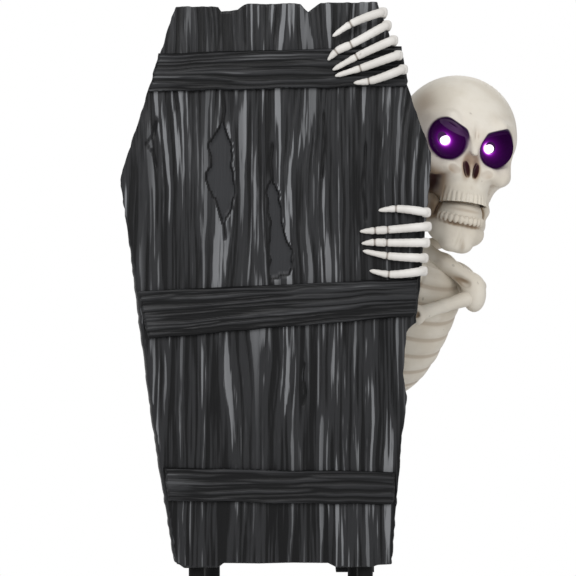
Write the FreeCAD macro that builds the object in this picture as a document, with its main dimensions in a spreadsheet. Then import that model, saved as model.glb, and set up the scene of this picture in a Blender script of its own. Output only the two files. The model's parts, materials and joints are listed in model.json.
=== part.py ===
import FreeCAD, Part
import math
import os
import re
import Sketcher
from FreeCAD import Placement, Rotation, Vector

# Animated coffin skeleton: a moulded coffin board on a tube stand, with a skeleton's head
# and chest behind it on an arm that swings out past the right edge. The front faces -Y,
# +X is to the right of someone who looks at the front, +Z is up and the floor is Z = 0.
# The stand's own zero is the coffin's centre line; frame_shift moves every piece sideways
# so that the origin is the middle of the overall footprint. Millimetres and degrees.

SIZES = {
    # overall places
    "frame_shift": 61.455,
    "coffin_base": 216,
    "coffin_face": 60,
    "fit_gap": 0.05,
    "rest_gap": 0.3,
    # coffin board, measured from its centre line and its bottom edge
    "coffin_height": 698,
    "coffin_depth": 45,
    "top_left": 125,
    "top_right": 128,
    "shoulder_left": 194,
    "shoulder_right": 195,
    "shoulder_left_height": 480,
    "shoulder_right_height": 503,
    "foot_left": 130,
    "foot_right": 146,
    "rim_width": 8,
    "edge_notch": 11,
    "top_notch": 12,
    "skirt_dip": 4,
    "front_skin": 5,
    "recess_depth": 3,
    "back_thickness": 3,
    "batten_thickness": 8,
    # stand
    "tube_diameter": 20,
    "tube_wall": 1.5,
    "front_left_x": 98,
    "front_right_x": 112,
    "rear_left_x": 83,
    "rear_right_x": 104,
    "front_tube_y": 37,
    "rear_tube_y": 104,
    "upright_reach": 250,
    "rear_reach": 146,
    "skid_axis_height": 22,
    "skid_length": 410,
    "cap_thickness": 4,
    "cap_overhang": 1,
    "plug_length": 12,
    "fitting_wall": 3,
    "fitting_reach": 34,
    "pad_width": 30,
    "pad_length": 40,
    "pad_inset": 24,
    "clamp_width": 36,
    "clamp_height": 20,
    # hands that grip the right edge
    "finger_radius": 5.2,
    "fingertip_radius": 2.2,
    "palm_radius": 7.5,
    "hand_pad_thickness": 8,
    "hand_pad_width": 30,
    # screws
    "screw_diameter": 3.2,
    "screw_length": 14,
    "screw_head_diameter": 7,
    "screw_head_height": 2.2,
    # swing drive
    "pivot_x": 70,
    "pivot_height": 316,
    "plate_thickness": 3,
    "plate_height": 84,
    "gear_module": 1.5,
    "sector_teeth": 48,
    "pinion_teeth": 12,
    "gear_thickness": 8,
    "backlash": 0.3,
    "shaft_diameter": 8,
    "bush_diameter": 13,
    "box_wall": 2.5,
    "box_depth": 36,
    "box_half_height": 34,
    "post_width": 8,
    "flange_width": 38,
    "flange_thickness": 2,
    "motor_diameter": 24,
    "motor_length": 30,
    "motor_shaft_diameter": 3,
    "arm_width": 28,
    "arm_thickness": 5,
    "arm_plane": 80,
    "arm_reach": 150,
    # torso, in its own leaning axes from the swing pivot
    "lean_angle": 22,
    "spine_diameter": 18,
    "spine_bottom": 96,
    "spine_top": 312,
    "chest_bottom": 120,
    "chest_height": 180,
    "chest_half_width": 75,
    "chest_depth_ratio": 0.75,
    "chest_wall": 3,
    "shoulder_reach": 85.5,
    "shoulder_rise": 290,
    "shoulder_radius": 18,
    "arm_bone_radius": 10,
    # head, in its own axes from the middle of the cranium
    "head_x": 238,
    "head_y": 117,
    "head_height": 760,
    "tilt_angle": 8,
    "turn_angle": 13.5,
    "nod_angle": 6,
    "cranium_half_width": 78,
    "cranium_half_depth": 92,
    "cranium_half_height": 78,
    "skull_wall": 3.5,
    "skull_base_drop": 64,
    "skull_split": 12,
    "socket_spacing": 64,
    "socket_drop": 14,
    "socket_radius": 25,
    "lens_radius": 6.5,
    "cup_wall": 1.8,
    "neck_back": 10,
    "neck_shaft_diameter": 8,
    "neck_motor_radius": 15,
    "neck_motor_length": 34,
    "neck_sleeve_radius": 23,
    "jaw_hinge_drop": 74,
    "jaw_hinge_forward": 12,
    "jaw_half_width": 46,
    "jaw_pin_diameter": 5,
    "chin_drop": 142,
    "chin_forward": 66,
    # control box on the right rear upright
    "control_width": 50,
    "control_depth": 40,
    "control_height": 94,
    "control_drop": 30,
    "control_wall": 2.5,
    "door_thickness": 2.5,
    "door_height": 58,
    "cell_diameter": 14,
    "cell_length": 50,
    "button_diameter": 12,
    "button_travel": 2.5,
    "switch_travel": 4,
}

doc = FreeCAD.newDocument("coffin_skeleton")
sheet = doc.addObject("Spreadsheet::Sheet", "sheet")
for row, (alias, number) in enumerate(SIZES.items(), start=1):
    sheet.set("A%d" % row, alias)
    sheet.set("B%d" % row, str(number))
    sheet.setAlias("B%d" % row, alias)
doc.recompute()

nodes = []


def size(alias):
    """The number that the sheet holds for an alias."""
    return float(sheet.get(alias))


def formula(words):
    """An expression on the sheet from one written with bare aliases."""
    return re.sub(r"[a-z]+(?:_[a-z]+)+|backlash", lambda found: "sheet." + found.group(0), str(words))


def bind(piece, prop, words):
    piece.setExpression(prop, formula(words))


def place(piece, spot, turn=None):
    """Put a piece at a spot given as three formulas, after an optional (axis, angle) turn."""
    if turn:
        piece.Placement = Placement(Vector(), Rotation(Vector(*turn[0]), turn[1]))
    for letter, words in zip("xyz", spot):
        bind(piece, "Placement.Base." + letter, words)


def box(name, low, lengths):
    piece = doc.addObject("Part::Box", name)
    for prop, words in zip(("Length", "Width", "Height"), lengths):
        bind(piece, prop, words)
    place(piece, low)
    return piece


TURNS = {"X": ((0, 1, 0), 90), "Y": ((1, 0, 0), -90), "Z": None,
         "-X": ((0, 1, 0), -90), "-Y": ((1, 0, 0), 90), "-Z": ((1, 0, 0), 180)}


def rod(name, radius, length, start, along="Z"):
    piece = doc.addObject("Part::Cylinder", name)
    bind(piece, "Radius", radius)
    bind(piece, "Height", length)
    place(piece, start, TURNS[along])
    return piece


def ball(name, centre, half_sizes):
    """An ellipsoid from its centre and its half sizes along X, Y and Z."""
    piece = doc.addObject("Part::Ellipsoid", name)
    for prop, words in zip(("Radius2", "Radius3", "Radius1"), half_sizes):
        bind(piece, prop, words)
    place(piece, centre)
    return piece


def fuse(name, *parts):
    if len(parts) == 1:
        return parts[0]
    piece = doc.addObject("Part::MultiFuse", name)
    piece.Shapes = list(parts)
    return piece


def common(name, base, tool):
    piece = doc.addObject("Part::Common", name)
    piece.Base = base
    piece.Tool = tool
    return piece


def cut(name, base, *tools):
    piece = doc.addObject("Part::Cut", name)
    piece.Base = base
    piece.Tool = fuse(name + "_tools", *tools)
    return piece


def group(name, parts):
    piece = doc.addObject("Part::Compound", name)
    piece.Links = list(parts)
    return piece


def turned(axis, angle):
    return Rotation(Vector(*axis), angle)


FRAMES = {
    "stand": (("-frame_shift", "0", "0"), Rotation()),
    "torso": (("pivot_x - frame_shift", "0", "pivot_height"), turned((0, 1, 0), size("lean_angle"))),
    "head": (("head_x - frame_shift", "head_y", "head_height"),
             turned((0, 1, 0), size("tilt_angle")) * turned((0, 0, 1), size("turn_angle"))
             * turned((1, 0, 0), -size("nod_angle"))),
}


def publish(piece, label, frame="stand"):
    """Make a piece one of the object's nodes: its label, and its place in its frame's axes."""
    if piece.TypeId in ("Part::Box", "Part::Cylinder", "Part::Ellipsoid"):
        piece = group(label + "_piece", [piece])
    base, rotation = FRAMES[frame]
    piece.Label = label
    piece.Placement = Placement(Vector(), rotation)
    for letter, words in zip("xyz", base):
        bind(piece, "Placement.Base." + letter, words)
    nodes.append(piece)
    return piece


def feature(shape, label, frame="stand"):
    """A free-form piece: its shape is made from the sheet's sizes before it is placed."""
    piece = doc.addObject("Part::Feature", label + "_form")
    piece.Shape = shape
    return publish(piece, label, frame)


def screw(name, spot, along, length="screw_length"):
    """A pan-head screw whose head seats at a spot and whose shank runs along an axis."""
    head_side = along[1:] if along.startswith("-") else "-" + along
    head = rod(name + "_head", "screw_head_diameter / 2", "screw_head_height", spot, head_side)
    shank = rod(name + "_shank", "screw_diameter / 2", length, spot, along)
    return fuse(name, head, shank)


def bore(name, spot, along, length="screw_length"):
    """The clearance hole of a screw at the same spot."""
    return rod(name, "screw_diameter / 2 + fit_gap", "(%s) + rest_gap" % length, spot, along)


def origin_plane(body, role):
    return next(part for part in body.Origin.OriginFeatures if part.Role == role)


def sketch(body, name, role, offset):
    """An empty sketch on one of a body's own planes, moved by three offset formulas."""
    drawing = body.newObject("Sketcher::SketchObject", name)
    drawing.AttachmentSupport = [(origin_plane(body, role), "")]
    drawing.MapMode = "FlatFace"
    for letter, words in zip("xyz", offset):
        bind(drawing, "AttachmentOffset.Base." + letter, words)
    return drawing


def polygon(drawing, corners):
    """Close a polygon in a sketch, each corner held at two formulas from the sketch's zero."""
    count = len(corners)
    starts = [Vector(100 * math.cos(math.tau * k / count), 100 * math.sin(math.tau * k / count), 0)
              for k in range(count)]
    first = drawing.GeometryCount
    for k in range(count):
        drawing.addGeometry(Part.LineSegment(starts[k], starts[(k + 1) % count]))
    for k in range(count):
        drawing.addConstraint(Sketcher.Constraint("Coincident", first + k, 2, first + (k + 1) % count, 1))
    for k, corner in enumerate(corners):
        for kind, start, words in zip(("DistanceX", "DistanceY"), (starts[k].x, starts[k].y), corner):
            index = drawing.addConstraint(Sketcher.Constraint(kind, -1, 1, first + k, 1, start))
            drawing.setExpression("Constraints[%d]" % index, formula(words))


def circles(drawing, centres, radius):
    """Circles in a sketch, each centre held at two formulas."""
    for k, centre in enumerate(centres):
        drawing.addGeometry(Part.Circle(Vector(10 * k, 10, 0), Vector(0, 0, 1), 3))
        index = drawing.addConstraint(Sketcher.Constraint("Radius", k, 3))
        drawing.setExpression("Constraints[%d]" % index, formula(radius))
        for kind, start, words in zip(("DistanceX", "DistanceY"), (10 * k + 1, 10), centre):
            index = drawing.addConstraint(Sketcher.Constraint(kind, -1, 1, k, 3, start))
            drawing.setExpression("Constraints[%d]" % index, formula(words))


def pad(body, drawing, length):
    step = body.newObject("PartDesign::Pad", drawing.Name + "_pad")
    step.Profile = drawing
    bind(step, "Length", length)


def pocket(body, drawing, length):
    step = body.newObject("PartDesign::Pocket", drawing.Name + "_pocket")
    step.Profile = drawing
    bind(step, "Length", length)


def bone(points, radii):
    """A bone: round joints at its points, and slightly thinner tapered shafts between them."""
    runs = [end - start for start, end in zip(points, points[1:])]
    shapes = [Part.makeSphere(radius, point, run)
              for point, radius, run in zip(points, radii, runs + runs[-1:])]
    waist = 0.93
    for (start, end), (near, far) in zip(zip(points, points[1:]), zip(radii, radii[1:])):
        run = end - start
        if abs(near - far) < 0.01:
            shapes.append(Part.makeCylinder(near * waist, run.Length, start, run))
        else:
            shapes.append(Part.makeCone(near * waist, far * waist, run.Length, start, run))
    return shapes


def joined(shapes):
    return shapes[0].multiFuse(shapes[1:])


# ---------------------------------------------------------------- coffin board

LEFT_EDGE = "-(foot_left + (shoulder_left - foot_left) * (%s) / shoulder_left_height)"
RIGHT_EDGE = "foot_right + (shoulder_right - foot_right) * (%s) / shoulder_right_height"
UPPER_LEFT_EDGE = ("-(shoulder_left - (shoulder_left - top_left) * ((%s) - shoulder_left_height)"
                   " / (coffin_height - shoulder_left_height))")
UPPER_RIGHT_EDGE = ("shoulder_right - (shoulder_right - top_right) * ((%s) - shoulder_right_height)"
                    " / (coffin_height - shoulder_right_height)")

board_outline = [
    ("-foot_left", "skirt_dip * 1.4"),
    ("-foot_left * 0.88", "-skirt_dip"),
    ("-foot_left * 0.53", "-skirt_dip"),
    ("-foot_left * 0.46", "skirt_dip * 0.4"),
    ("foot_right * 0.45", "skirt_dip * 0.4"),
    ("foot_right * 0.51", "-skirt_dip"),
    ("foot_right * 0.87", "-skirt_dip"),
    ("foot_right", "0"),
    (RIGHT_EDGE % "coffin_height * 0.3", "coffin_height * 0.3"),
    (RIGHT_EDGE % "coffin_height * 0.335" + " - edge_notch * 0.8", "coffin_height * 0.335"),
    (RIGHT_EDGE % "coffin_height * 0.415" + " - edge_notch", "coffin_height * 0.415"),
    (RIGHT_EDGE % "coffin_height * 0.43", "coffin_height * 0.43"),
    ("shoulder_right", "shoulder_right_height - skirt_dip * 2"),
    ("shoulder_right", "shoulder_right_height + skirt_dip * 2"),
    ("top_right", "coffin_height"),
    ("top_right * 0.45", "coffin_height"),
    ("top_right * 0.32", "coffin_height - top_notch"),
    ("top_right * 0.24", "coffin_height - skirt_dip / 2"),
    ("-top_left * 0.29", "coffin_height - skirt_dip / 2"),
    ("-top_left * 0.36", "coffin_height - top_notch"),
    ("-top_left * 0.54", "coffin_height - top_notch"),
    ("-top_left * 0.57", "coffin_height - top_notch / 2"),
    ("-top_left", "coffin_height - top_notch / 2"),
    ("-shoulder_left", "shoulder_left_height"),
]


def hexagon(left_in, right_in, top_in, foot_in):
    """The coffin's plain six-sided outline, drawn in from each side by a formula."""
    return [
        ("-(foot_left - (%s))" % left_in, foot_in),
        ("foot_right - (%s)" % right_in, foot_in),
        ("shoulder_right - (%s)" % right_in, "shoulder_right_height"),
        ("top_right - (%s)" % right_in, "coffin_height - (%s)" % top_in),
        ("-(top_left - (%s))" % left_in, "coffin_height - (%s)" % top_in),
        ("-(shoulder_left - (%s))" % left_in, "shoulder_left_height"),
    ]


cavity = hexagon("rim_width", "rim_width + edge_notch", "rim_width + top_notch", "rim_width")
lid = hexagon("rim_width / 4", "rim_width / 4 + edge_notch", "rim_width / 4 + top_notch", "rim_width / 4")

broken_patch_left = [
    ("-top_left * 0.43", "coffin_height * 0.78"), ("-top_left * 0.68", "coffin_height * 0.73"),
    ("-top_left * 0.68", "coffin_height * 0.67"), ("-top_left * 0.52", "coffin_height * 0.61"),
    ("-top_left * 0.41", "coffin_height * 0.65"), ("-top_left * 0.46", "coffin_height * 0.72"),
]
broken_patch_middle = [
    ("-top_right * 0.06", "coffin_height * 0.68"), ("-top_right * 0.04", "coffin_height * 0.515"),
    ("top_right * 0.14", "coffin_height * 0.515"), ("top_right * 0.16", "coffin_height * 0.57"),
    ("top_right * 0.05", "coffin_height * 0.63"),
]

# Back-cover screws go into the middle of the rim; hand and clamp screws pass through the cover.
rim_middle = "rim_width * 0.55"
BACK_Y = "-coffin_face + coffin_depth + back_thickness"
cover_screw_spots = []
for height in ("shoulder_left_height * 0.12", "shoulder_left_height * 0.55", "shoulder_left_height * 0.97"):
    cover_screw_spots.append((LEFT_EDGE % height + " + " + rim_middle + " + screw_diameter / 3", height))
for height in ("shoulder_right_height * 0.12", "shoulder_right_height * 0.55",
               "shoulder_right_height * 0.97"):
    cover_screw_spots.append((RIGHT_EDGE % height + " - edge_notch - " + rim_middle, height))
for across in ("-top_left * 0.75", "top_right * 0.7"):
    cover_screw_spots.append((across, "coffin_height - top_notch - " + rim_middle))

clamp_spots = []
for across in ("-front_left_x", "front_right_x"):
    for height in ("upright_reach * 0.25", "upright_reach * 0.9"):
        clamp_spots.append((across, height))
SCREW_SIDES = ("-(clamp_width - screw_head_diameter) / 2", "(clamp_width - screw_head_diameter) / 2")
clamp_screw_spots = [(across + " + " + side, height) for across, height in clamp_spots
                     for side in SCREW_SIDES]


def build_coffin():
    front = doc.addObject("PartDesign::Body", "coffin_front_body")
    rear_plane = ("0", "coffin_base", "coffin_face - coffin_depth")
    board = sketch(front, "board_outline", "XZ_Plane", rear_plane)
    polygon(board, board_outline)
    pad(front, board, "coffin_depth")
    hollow = sketch(front, "board_hollow", "XZ_Plane", ("0", "coffin_base", "coffin_face - front_skin"))
    polygon(hollow, cavity)
    pocket(front, hollow, "coffin_depth - front_skin")
    for name, corners in (("patch_left", broken_patch_left), ("patch_middle", broken_patch_middle)):
        recess = sketch(front, name, "XZ_Plane", ("0", "coffin_base", "coffin_face"))
        polygon(recess, corners)
        pocket(front, recess, "recess_depth")
    legs = sketch(front, "leg_holes", "XY_Plane", ("0", "0", "coffin_base + rim_width * 2"))
    circles(legs, [("-front_left_x", "-front_tube_y"), ("front_right_x", "-front_tube_y")],
            "tube_diameter / 2 + rest_gap")
    pocket(front, legs, "rim_width * 4")
    pilots = sketch(front, "rim_pilots", "XZ_Plane",
                    ("0", "coffin_base", "coffin_face - coffin_depth + screw_length"))
    circles(pilots, cover_screw_spots, "screw_diameter / 2 + fit_gap")
    pocket(front, pilots, "screw_length")
    publish(front, "coffin_front")

    back = doc.addObject("PartDesign::Body", "coffin_back_body")
    panel = sketch(back, "back_outline", "XZ_Plane",
                   ("0", "coffin_base", "coffin_face - coffin_depth - back_thickness"))
    polygon(panel, lid)
    pad(back, panel, "back_thickness")
    holes = sketch(back, "back_holes", "XZ_Plane", ("0", "coffin_base", "coffin_face - coffin_depth"))
    circles(holes, cover_screw_spots + clamp_screw_spots + hand_screw_spots,
            "screw_diameter / 2 + fit_gap")
    pocket(back, holes, "back_thickness")
    publish(back, "coffin_back")

    cover_screws = []
    for k, (across, height) in enumerate(cover_screw_spots + clamp_screw_spots):
        spot = (across, BACK_Y, "coffin_base + " + height)
        cover_screws.append(screw("cover_screw_%d" % k, spot, "-Y"))
    for k, (across, height) in enumerate(hand_screw_spots):
        spot = (across, "-coffin_face + coffin_depth", "coffin_base + " + height)
        cover_screws.append(screw("hand_screw_%d" % k, spot, "Y", "back_thickness + hand_pad_thickness"))
    publish(group("panel_screw_group", cover_screws), "panel_screws")

    for k, (name, corners) in enumerate(BATTENS.items()):
        strip = doc.addObject("PartDesign::Body", name + "_body")
        plank = sketch(strip, name + "_outline", "XZ_Plane", ("0", "coffin_base", "coffin_face"))
        polygon(plank, corners)
        pad(strip, plank, "batten_thickness")
        publish(strip, name)


BATTENS = {
    "batten_top": [
        (UPPER_LEFT_EDGE % "coffin_height * 0.84", "coffin_height * 0.84"),
        (UPPER_RIGHT_EDGE % "coffin_height * 0.85" + " - edge_notch / 2", "coffin_height * 0.85"),
        (UPPER_RIGHT_EDGE % "coffin_height * 0.92" + " - edge_notch / 2", "coffin_height * 0.92"),
        (UPPER_LEFT_EDGE % "coffin_height * 0.908", "coffin_height * 0.908"),
    ],
    "batten_middle": [
        (LEFT_EDGE % "coffin_height * 0.4" + " + edge_notch", "coffin_height * 0.4"),
        (RIGHT_EDGE % "coffin_height * 0.44" + " - edge_notch", "coffin_height * 0.437"),
        (RIGHT_EDGE % "coffin_height * 0.45" + " - skirt_dip", "coffin_height * 0.45"),
        (RIGHT_EDGE % "coffin_height * 0.5" + " - skirt_dip", "coffin_height * 0.508"),
        (LEFT_EDGE % "coffin_height * 0.485" + " + skirt_dip", "coffin_height * 0.485"),
        (LEFT_EDGE % "coffin_height * 0.42" + " + skirt_dip", "coffin_height * 0.42"),
    ],
    "batten_bottom": [
        (LEFT_EDGE % "coffin_height * 0.113" + " + edge_notch", "coffin_height * 0.113"),
        (RIGHT_EDGE % "coffin_height * 0.107" + " - skirt_dip", "coffin_height * 0.107"),
        (RIGHT_EDGE % "coffin_height * 0.165" + " - skirt_dip", "coffin_height * 0.165"),
        (LEFT_EDGE % "coffin_height * 0.173" + " + edge_notch", "coffin_height * 0.173"),
    ],
}

# Each hand's five fingers from the top one down: height of the root up the coffin, slope of
# the near bone and its length, slope of the fingertip bone and its length.
HANDS = {
    "upper_hand": {
        "fingers": [(0.979, 17.6, 46, 34, 28), (0.956, 25.7, 54, 33, 34), (0.929, 21.5, 56, 29, 33),
                    (0.903, 16.5, 56, 17, 32), (0.878, 16.6, 51, 6, 18)],
        "palm": (-52, -46), "wrist": (-72, -84), "lift": "batten_thickness",
    },
    "lower_hand": {
        "fingers": [(0.625, -5.7, 45, 5.4, 21), (0.6, 4.2, 55, 3.4, 34), (0.572, 0, 53, 1.8, 32),
                    (0.544, -3.3, 52, -11.5, 30), (0.521, 4.6, 50, -10.6, 24)],
        "palm": (-44, -4), "wrist": (-88, -22), "lift": None,
    },
}


def right_edge(height):
    """How far the coffin's right edge stands out at a height above its bottom."""
    shoulder, top = size("shoulder_right_height"), size("coffin_height")
    if height <= shoulder:
        return size("foot_right") + (size("shoulder_right") - size("foot_right")) * height / shoulder
    rise = (height - shoulder) / (top - shoulder)
    return size("shoulder_right") - (size("shoulder_right") - size("top_right")) * rise


def palm_spot(hand):
    """Middle of a hand's palm behind the coffin, from the coffin's centre line and bottom."""
    height = size("coffin_height") * hand["fingers"][2][0]
    across, along = hand["palm"]
    return right_edge(height) + across, height + along


PALM_WORDS = []
for hand in HANDS.values():
    share = hand["fingers"][2][0]
    edge = (UPPER_RIGHT_EDGE if share > 0.75 else RIGHT_EDGE) % ("coffin_height * %s" % share)
    across, along = hand["palm"]
    PALM_WORDS.append((edge + " + (%s)" % across, "coffin_height * %s + (%s)" % (share, along)))
hand_screw_spots = [(across + " + " + side, height) for across, height in PALM_WORDS
                    for side in ("-hand_pad_width / 4", "hand_pad_width / 4")]


def build_hands():
    back_y = size("coffin_depth") + size("back_thickness") - size("coffin_face")
    knuckle, tip, palm_radius = size("finger_radius"), size("fingertip_radius"), size("palm_radius")
    gap = size("rest_gap")
    edge_clearance = 5 * gap
    for name, hand in HANDS.items():
        lift = size(hand["lift"]) if hand["lift"] else 0
        front_y = -size("coffin_face") - lift - knuckle - gap
        palm_x, palm_height = palm_spot(hand)
        palm = Vector(palm_x, back_y + gap + palm_radius, size("coffin_base") + palm_height)
        wrist = palm + Vector(hand["wrist"][0] - hand["palm"][0], 0, hand["wrist"][1] - hand["palm"][1])
        shapes = bone([palm, wrist], [palm_radius, palm_radius])
        for share, slope, near_length, tip_slope, tip_length in hand["fingers"]:
            height = size("coffin_height") * share
            root = Vector(right_edge(height) + knuckle + edge_clearance, front_y, size("coffin_base") + height)
            near = math.radians(slope)
            far = math.radians(tip_slope)
            joint = root + Vector(-near_length * math.cos(near), 0, -near_length * math.sin(near))
            point = joint + Vector(-tip_length * math.cos(far), 0, -tip_length * math.sin(far))
            rear = Vector(root.x, back_y + gap + knuckle, root.z)
            middle = palm + Vector(palm_radius, 0, (height - palm_height) * 0.3)
            middle.y = rear.y
            shapes += bone([point, joint, root, rear, middle],
                           [tip, knuckle * 0.85, knuckle, knuckle, knuckle])
        pad_width, pad_thickness = size("hand_pad_width"), size("hand_pad_thickness")
        shapes.append(Part.makeBox(pad_width, pad_thickness, pad_width * 0.7,
                                   Vector(palm.x - pad_width / 2, back_y, palm.z - pad_width * 0.35)))
        hand_shape = joined(shapes)
        for side in (-pad_width / 4, pad_width / 4):
            hand_shape = hand_shape.cut(Part.makeCylinder(
                size("screw_diameter") / 2 + size("fit_gap"), pad_thickness + gap,
                Vector(palm.x + side, back_y, palm.z), Vector(0, 1, 0)))
        feature(hand_shape, name)


# ---------------------------------------------------------------- stand

SEAT = "skid_axis_height + tube_diameter / 2 + rest_gap"
TUBE_BORE = "tube_diameter / 2 + fit_gap"
FITTING = "tube_diameter / 2 + fitting_wall"


def tube(name, length, start, along):
    outer = rod(name + "_outer", "tube_diameter / 2", length, start, along)
    inner = rod(name + "_inner", "tube_diameter / 2 - tube_wall", length, start, along)
    return cut(name + "_tube", outer, inner)


def tube_block(name, across, low_y, high_y, low_z, height, width="clamp_width"):
    """A saddle block round an upright, from one Y to another."""
    return box(name, ("%s - (%s) / 2" % (across, width), low_y, low_z),
               (width, "(%s) - (%s)" % (high_y, low_y), height))


def build_stand():
    for name, across in (("front_upright_left", "-front_left_x"), ("front_upright_right", "front_right_x")):
        publish(tube(name, "coffin_base + upright_reach - (%s)" % SEAT,
                     (across, "-front_tube_y", SEAT), "Z"), name)
    for name, across in (("rear_upright_left", "-rear_left_x"), ("rear_upright_right", "rear_right_x")):
        publish(tube(name, "coffin_base + rear_reach - (%s)" % SEAT,
                     (across, "rear_tube_y", SEAT), "Z"), name)
    pads = []
    caps = []
    for side, across in (("left", "-front_left_x"), ("right", "front_right_x")):
        publish(tube("skid_" + side, "skid_length", (across, "-skid_length / 2", "skid_axis_height"), "Y"),
                "skid_" + side)
        for end, sign in (("front", "-"), ("rear", "")):
            middle = "%s(skid_length / 2 - pad_inset)" % (sign or "1 * ")
            name = "pad_%s_%s" % (side, end)
            block = box(name + "_block", (across + " - pad_width / 2", middle + " - pad_length / 2", "0"),
                        ("pad_width", "pad_length", "skid_axis_height"))
            groove = rod(name + "_groove", TUBE_BORE, "pad_length * 2",
                         (across, middle + " - pad_length", "skid_axis_height"), "Y")
            pads.append(cut(name, block, groove))
            tube_end = "%s(skid_length / 2)" % (sign or "1 * ")
            outward = sign + "Y"
            inward = "-Y" if sign == "" else "Y"
            disc = rod(name + "_disc", "tube_diameter / 2 + cap_overhang", "cap_thickness",
                       (across, tube_end, "skid_axis_height"), outward)
            plug = rod(name + "_plug", "tube_diameter / 2 - tube_wall - fit_gap", "plug_length",
                       (across, tube_end, "skid_axis_height"), inward)
            caps.append(fuse(name + "_cap", disc, plug))
    publish(group("foot_pad_group", pads), "foot_pads")
    publish(group("end_cap_group", caps), "skid_end_caps")
    publish(tube("cross", "front_left_x + front_right_x - tube_diameter - 2 * rest_gap",
                 ("-front_left_x + tube_diameter / 2 + rest_gap", "rear_tube_y", "skid_axis_height"), "X"),
            "rear_cross_tube")
    for side, across in (("left", "-front_left_x"), ("right", "front_right_x")):
        name = "front_tee_" + side
        sleeve = rod(name + "_sleeve", FITTING, "fitting_reach * 1.3",
                     (across, "-front_tube_y - fitting_reach * 0.65", "skid_axis_height"), "Y")
        # The socket is a little slimmer than the sleeve, so that no two walls only touch.
        socket = rod(name + "_socket", FITTING + " - 4 * fit_gap", "tube_diameter / 2 + fitting_reach",
                     (across, "-front_tube_y", "skid_axis_height"))
        through = rod(name + "_through", TUBE_BORE, "fitting_reach * 2",
                      (across, "-front_tube_y - fitting_reach", "skid_axis_height"), "Y")
        seat = rod(name + "_seat", TUBE_BORE, "fitting_reach * 2", (across, "-front_tube_y", SEAT))
        publish(cut(name, fuse(name + "_body", sleeve, socket), through, seat), name)
    for side, across, upright, toward, sign in (("left", "-front_left_x", "-rear_left_x", "X", ""),
                                                ("right", "front_right_x", "rear_right_x", "-X", "-")):
        name = "rear_corner_" + side
        offset = "abs((%s) - (%s))" % (across, upright)
        sleeve = rod(name + "_sleeve", FITTING, "fitting_reach * 1.3",
                     (across, "rear_tube_y - fitting_reach * 0.65", "skid_axis_height"), "Y")
        arm = rod(name + "_arm", FITTING, "%s + fitting_reach" % offset,
                  (across, "rear_tube_y", "skid_axis_height"), toward)
        socket = rod(name + "_socket", FITTING, "tube_diameter / 2 + fitting_reach",
                     (upright, "rear_tube_y", "skid_axis_height"))
        through = rod(name + "_through", TUBE_BORE, "fitting_reach * 2",
                      (across, "rear_tube_y - fitting_reach", "skid_axis_height"), "Y")
        inner = "%s %s (tube_diameter / 2 + rest_gap)" % (across, "-" if sign else "+")
        cross = rod(name + "_cross", TUBE_BORE, "%s + fitting_reach * 2" % offset,
                    (inner, "rear_tube_y", "skid_axis_height"), toward)
        seat = rod(name + "_seat", TUBE_BORE, "fitting_reach * 2", (upright, "rear_tube_y", SEAT))
        publish(cut(name, fuse(name + "_body", sleeve, arm, socket), through, cross, seat), name)

    clamps = []
    for k, (across, height) in enumerate(clamp_spots):
        name = "leg_clamp_%d" % k
        low_y = "-front_tube_y - tube_diameter / 2 - fitting_wall"
        middle = "coffin_base + " + height
        block = tube_block(name + "_block", across, low_y, "-coffin_face + coffin_depth",
                           middle + " - clamp_height / 2", "clamp_height")
        tools = [rod(name + "_bore", TUBE_BORE, "clamp_height * 2",
                     (across, "-front_tube_y", middle + " - clamp_height"))]
        for n, side in enumerate(SCREW_SIDES):
            tools.append(bore("%s_pilot_%d" % (name, n), (across + " + " + side, BACK_Y, middle), "-Y"))
        clamps.append(cut(name, block, *tools))
    publish(group("leg_clamp_group", clamps), "leg_clamps")


# ---------------------------------------------------------------- swing drive

PLATE_BACK = "rear_tube_y - tube_diameter / 2 - rest_gap"
PLATE_FRONT = PLATE_BACK + " - plate_thickness"
CLAMP_BACK = "rear_tube_y + tube_diameter / 2 + fitting_wall"
CENTRES = "gear_module * (sector_teeth + pinion_teeth) / 2"
PINION_X = "pivot_x - " + CENTRES
BOX_LEFT = PINION_X + " - gear_module * (pinion_teeth / 2 + 4)"
BOX_RIGHT = "pivot_x + bush_diameter + 1"
COVER_Y = PLATE_BACK + " + box_depth"
plate_clamp_spots = [(across, "pivot_height " + step) for across in ("-rear_left_x", "rear_right_x")
                     for step in ("- plate_height * 0.36", "+ plate_height * 0.36")]
plate_clamp_screws = [(across + " + " + side, height) for across, height in plate_clamp_spots
                      for side in SCREW_SIDES]
post_spots = [(across, "pivot_height " + step)
              for across in (BOX_LEFT + " + box_wall + post_width / 2",
                             BOX_RIGHT + " - box_wall - post_width / 2")
              for step in ("- (box_half_height - box_wall - post_width / 2)",
                           "+ (box_half_height - box_wall - post_width / 2)")]
flange_spots = [(PINION_X + step, "pivot_height")
                for step in (" - (flange_width - screw_head_diameter) / 2",
                             " + (flange_width - screw_head_diameter) / 2")]


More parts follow.
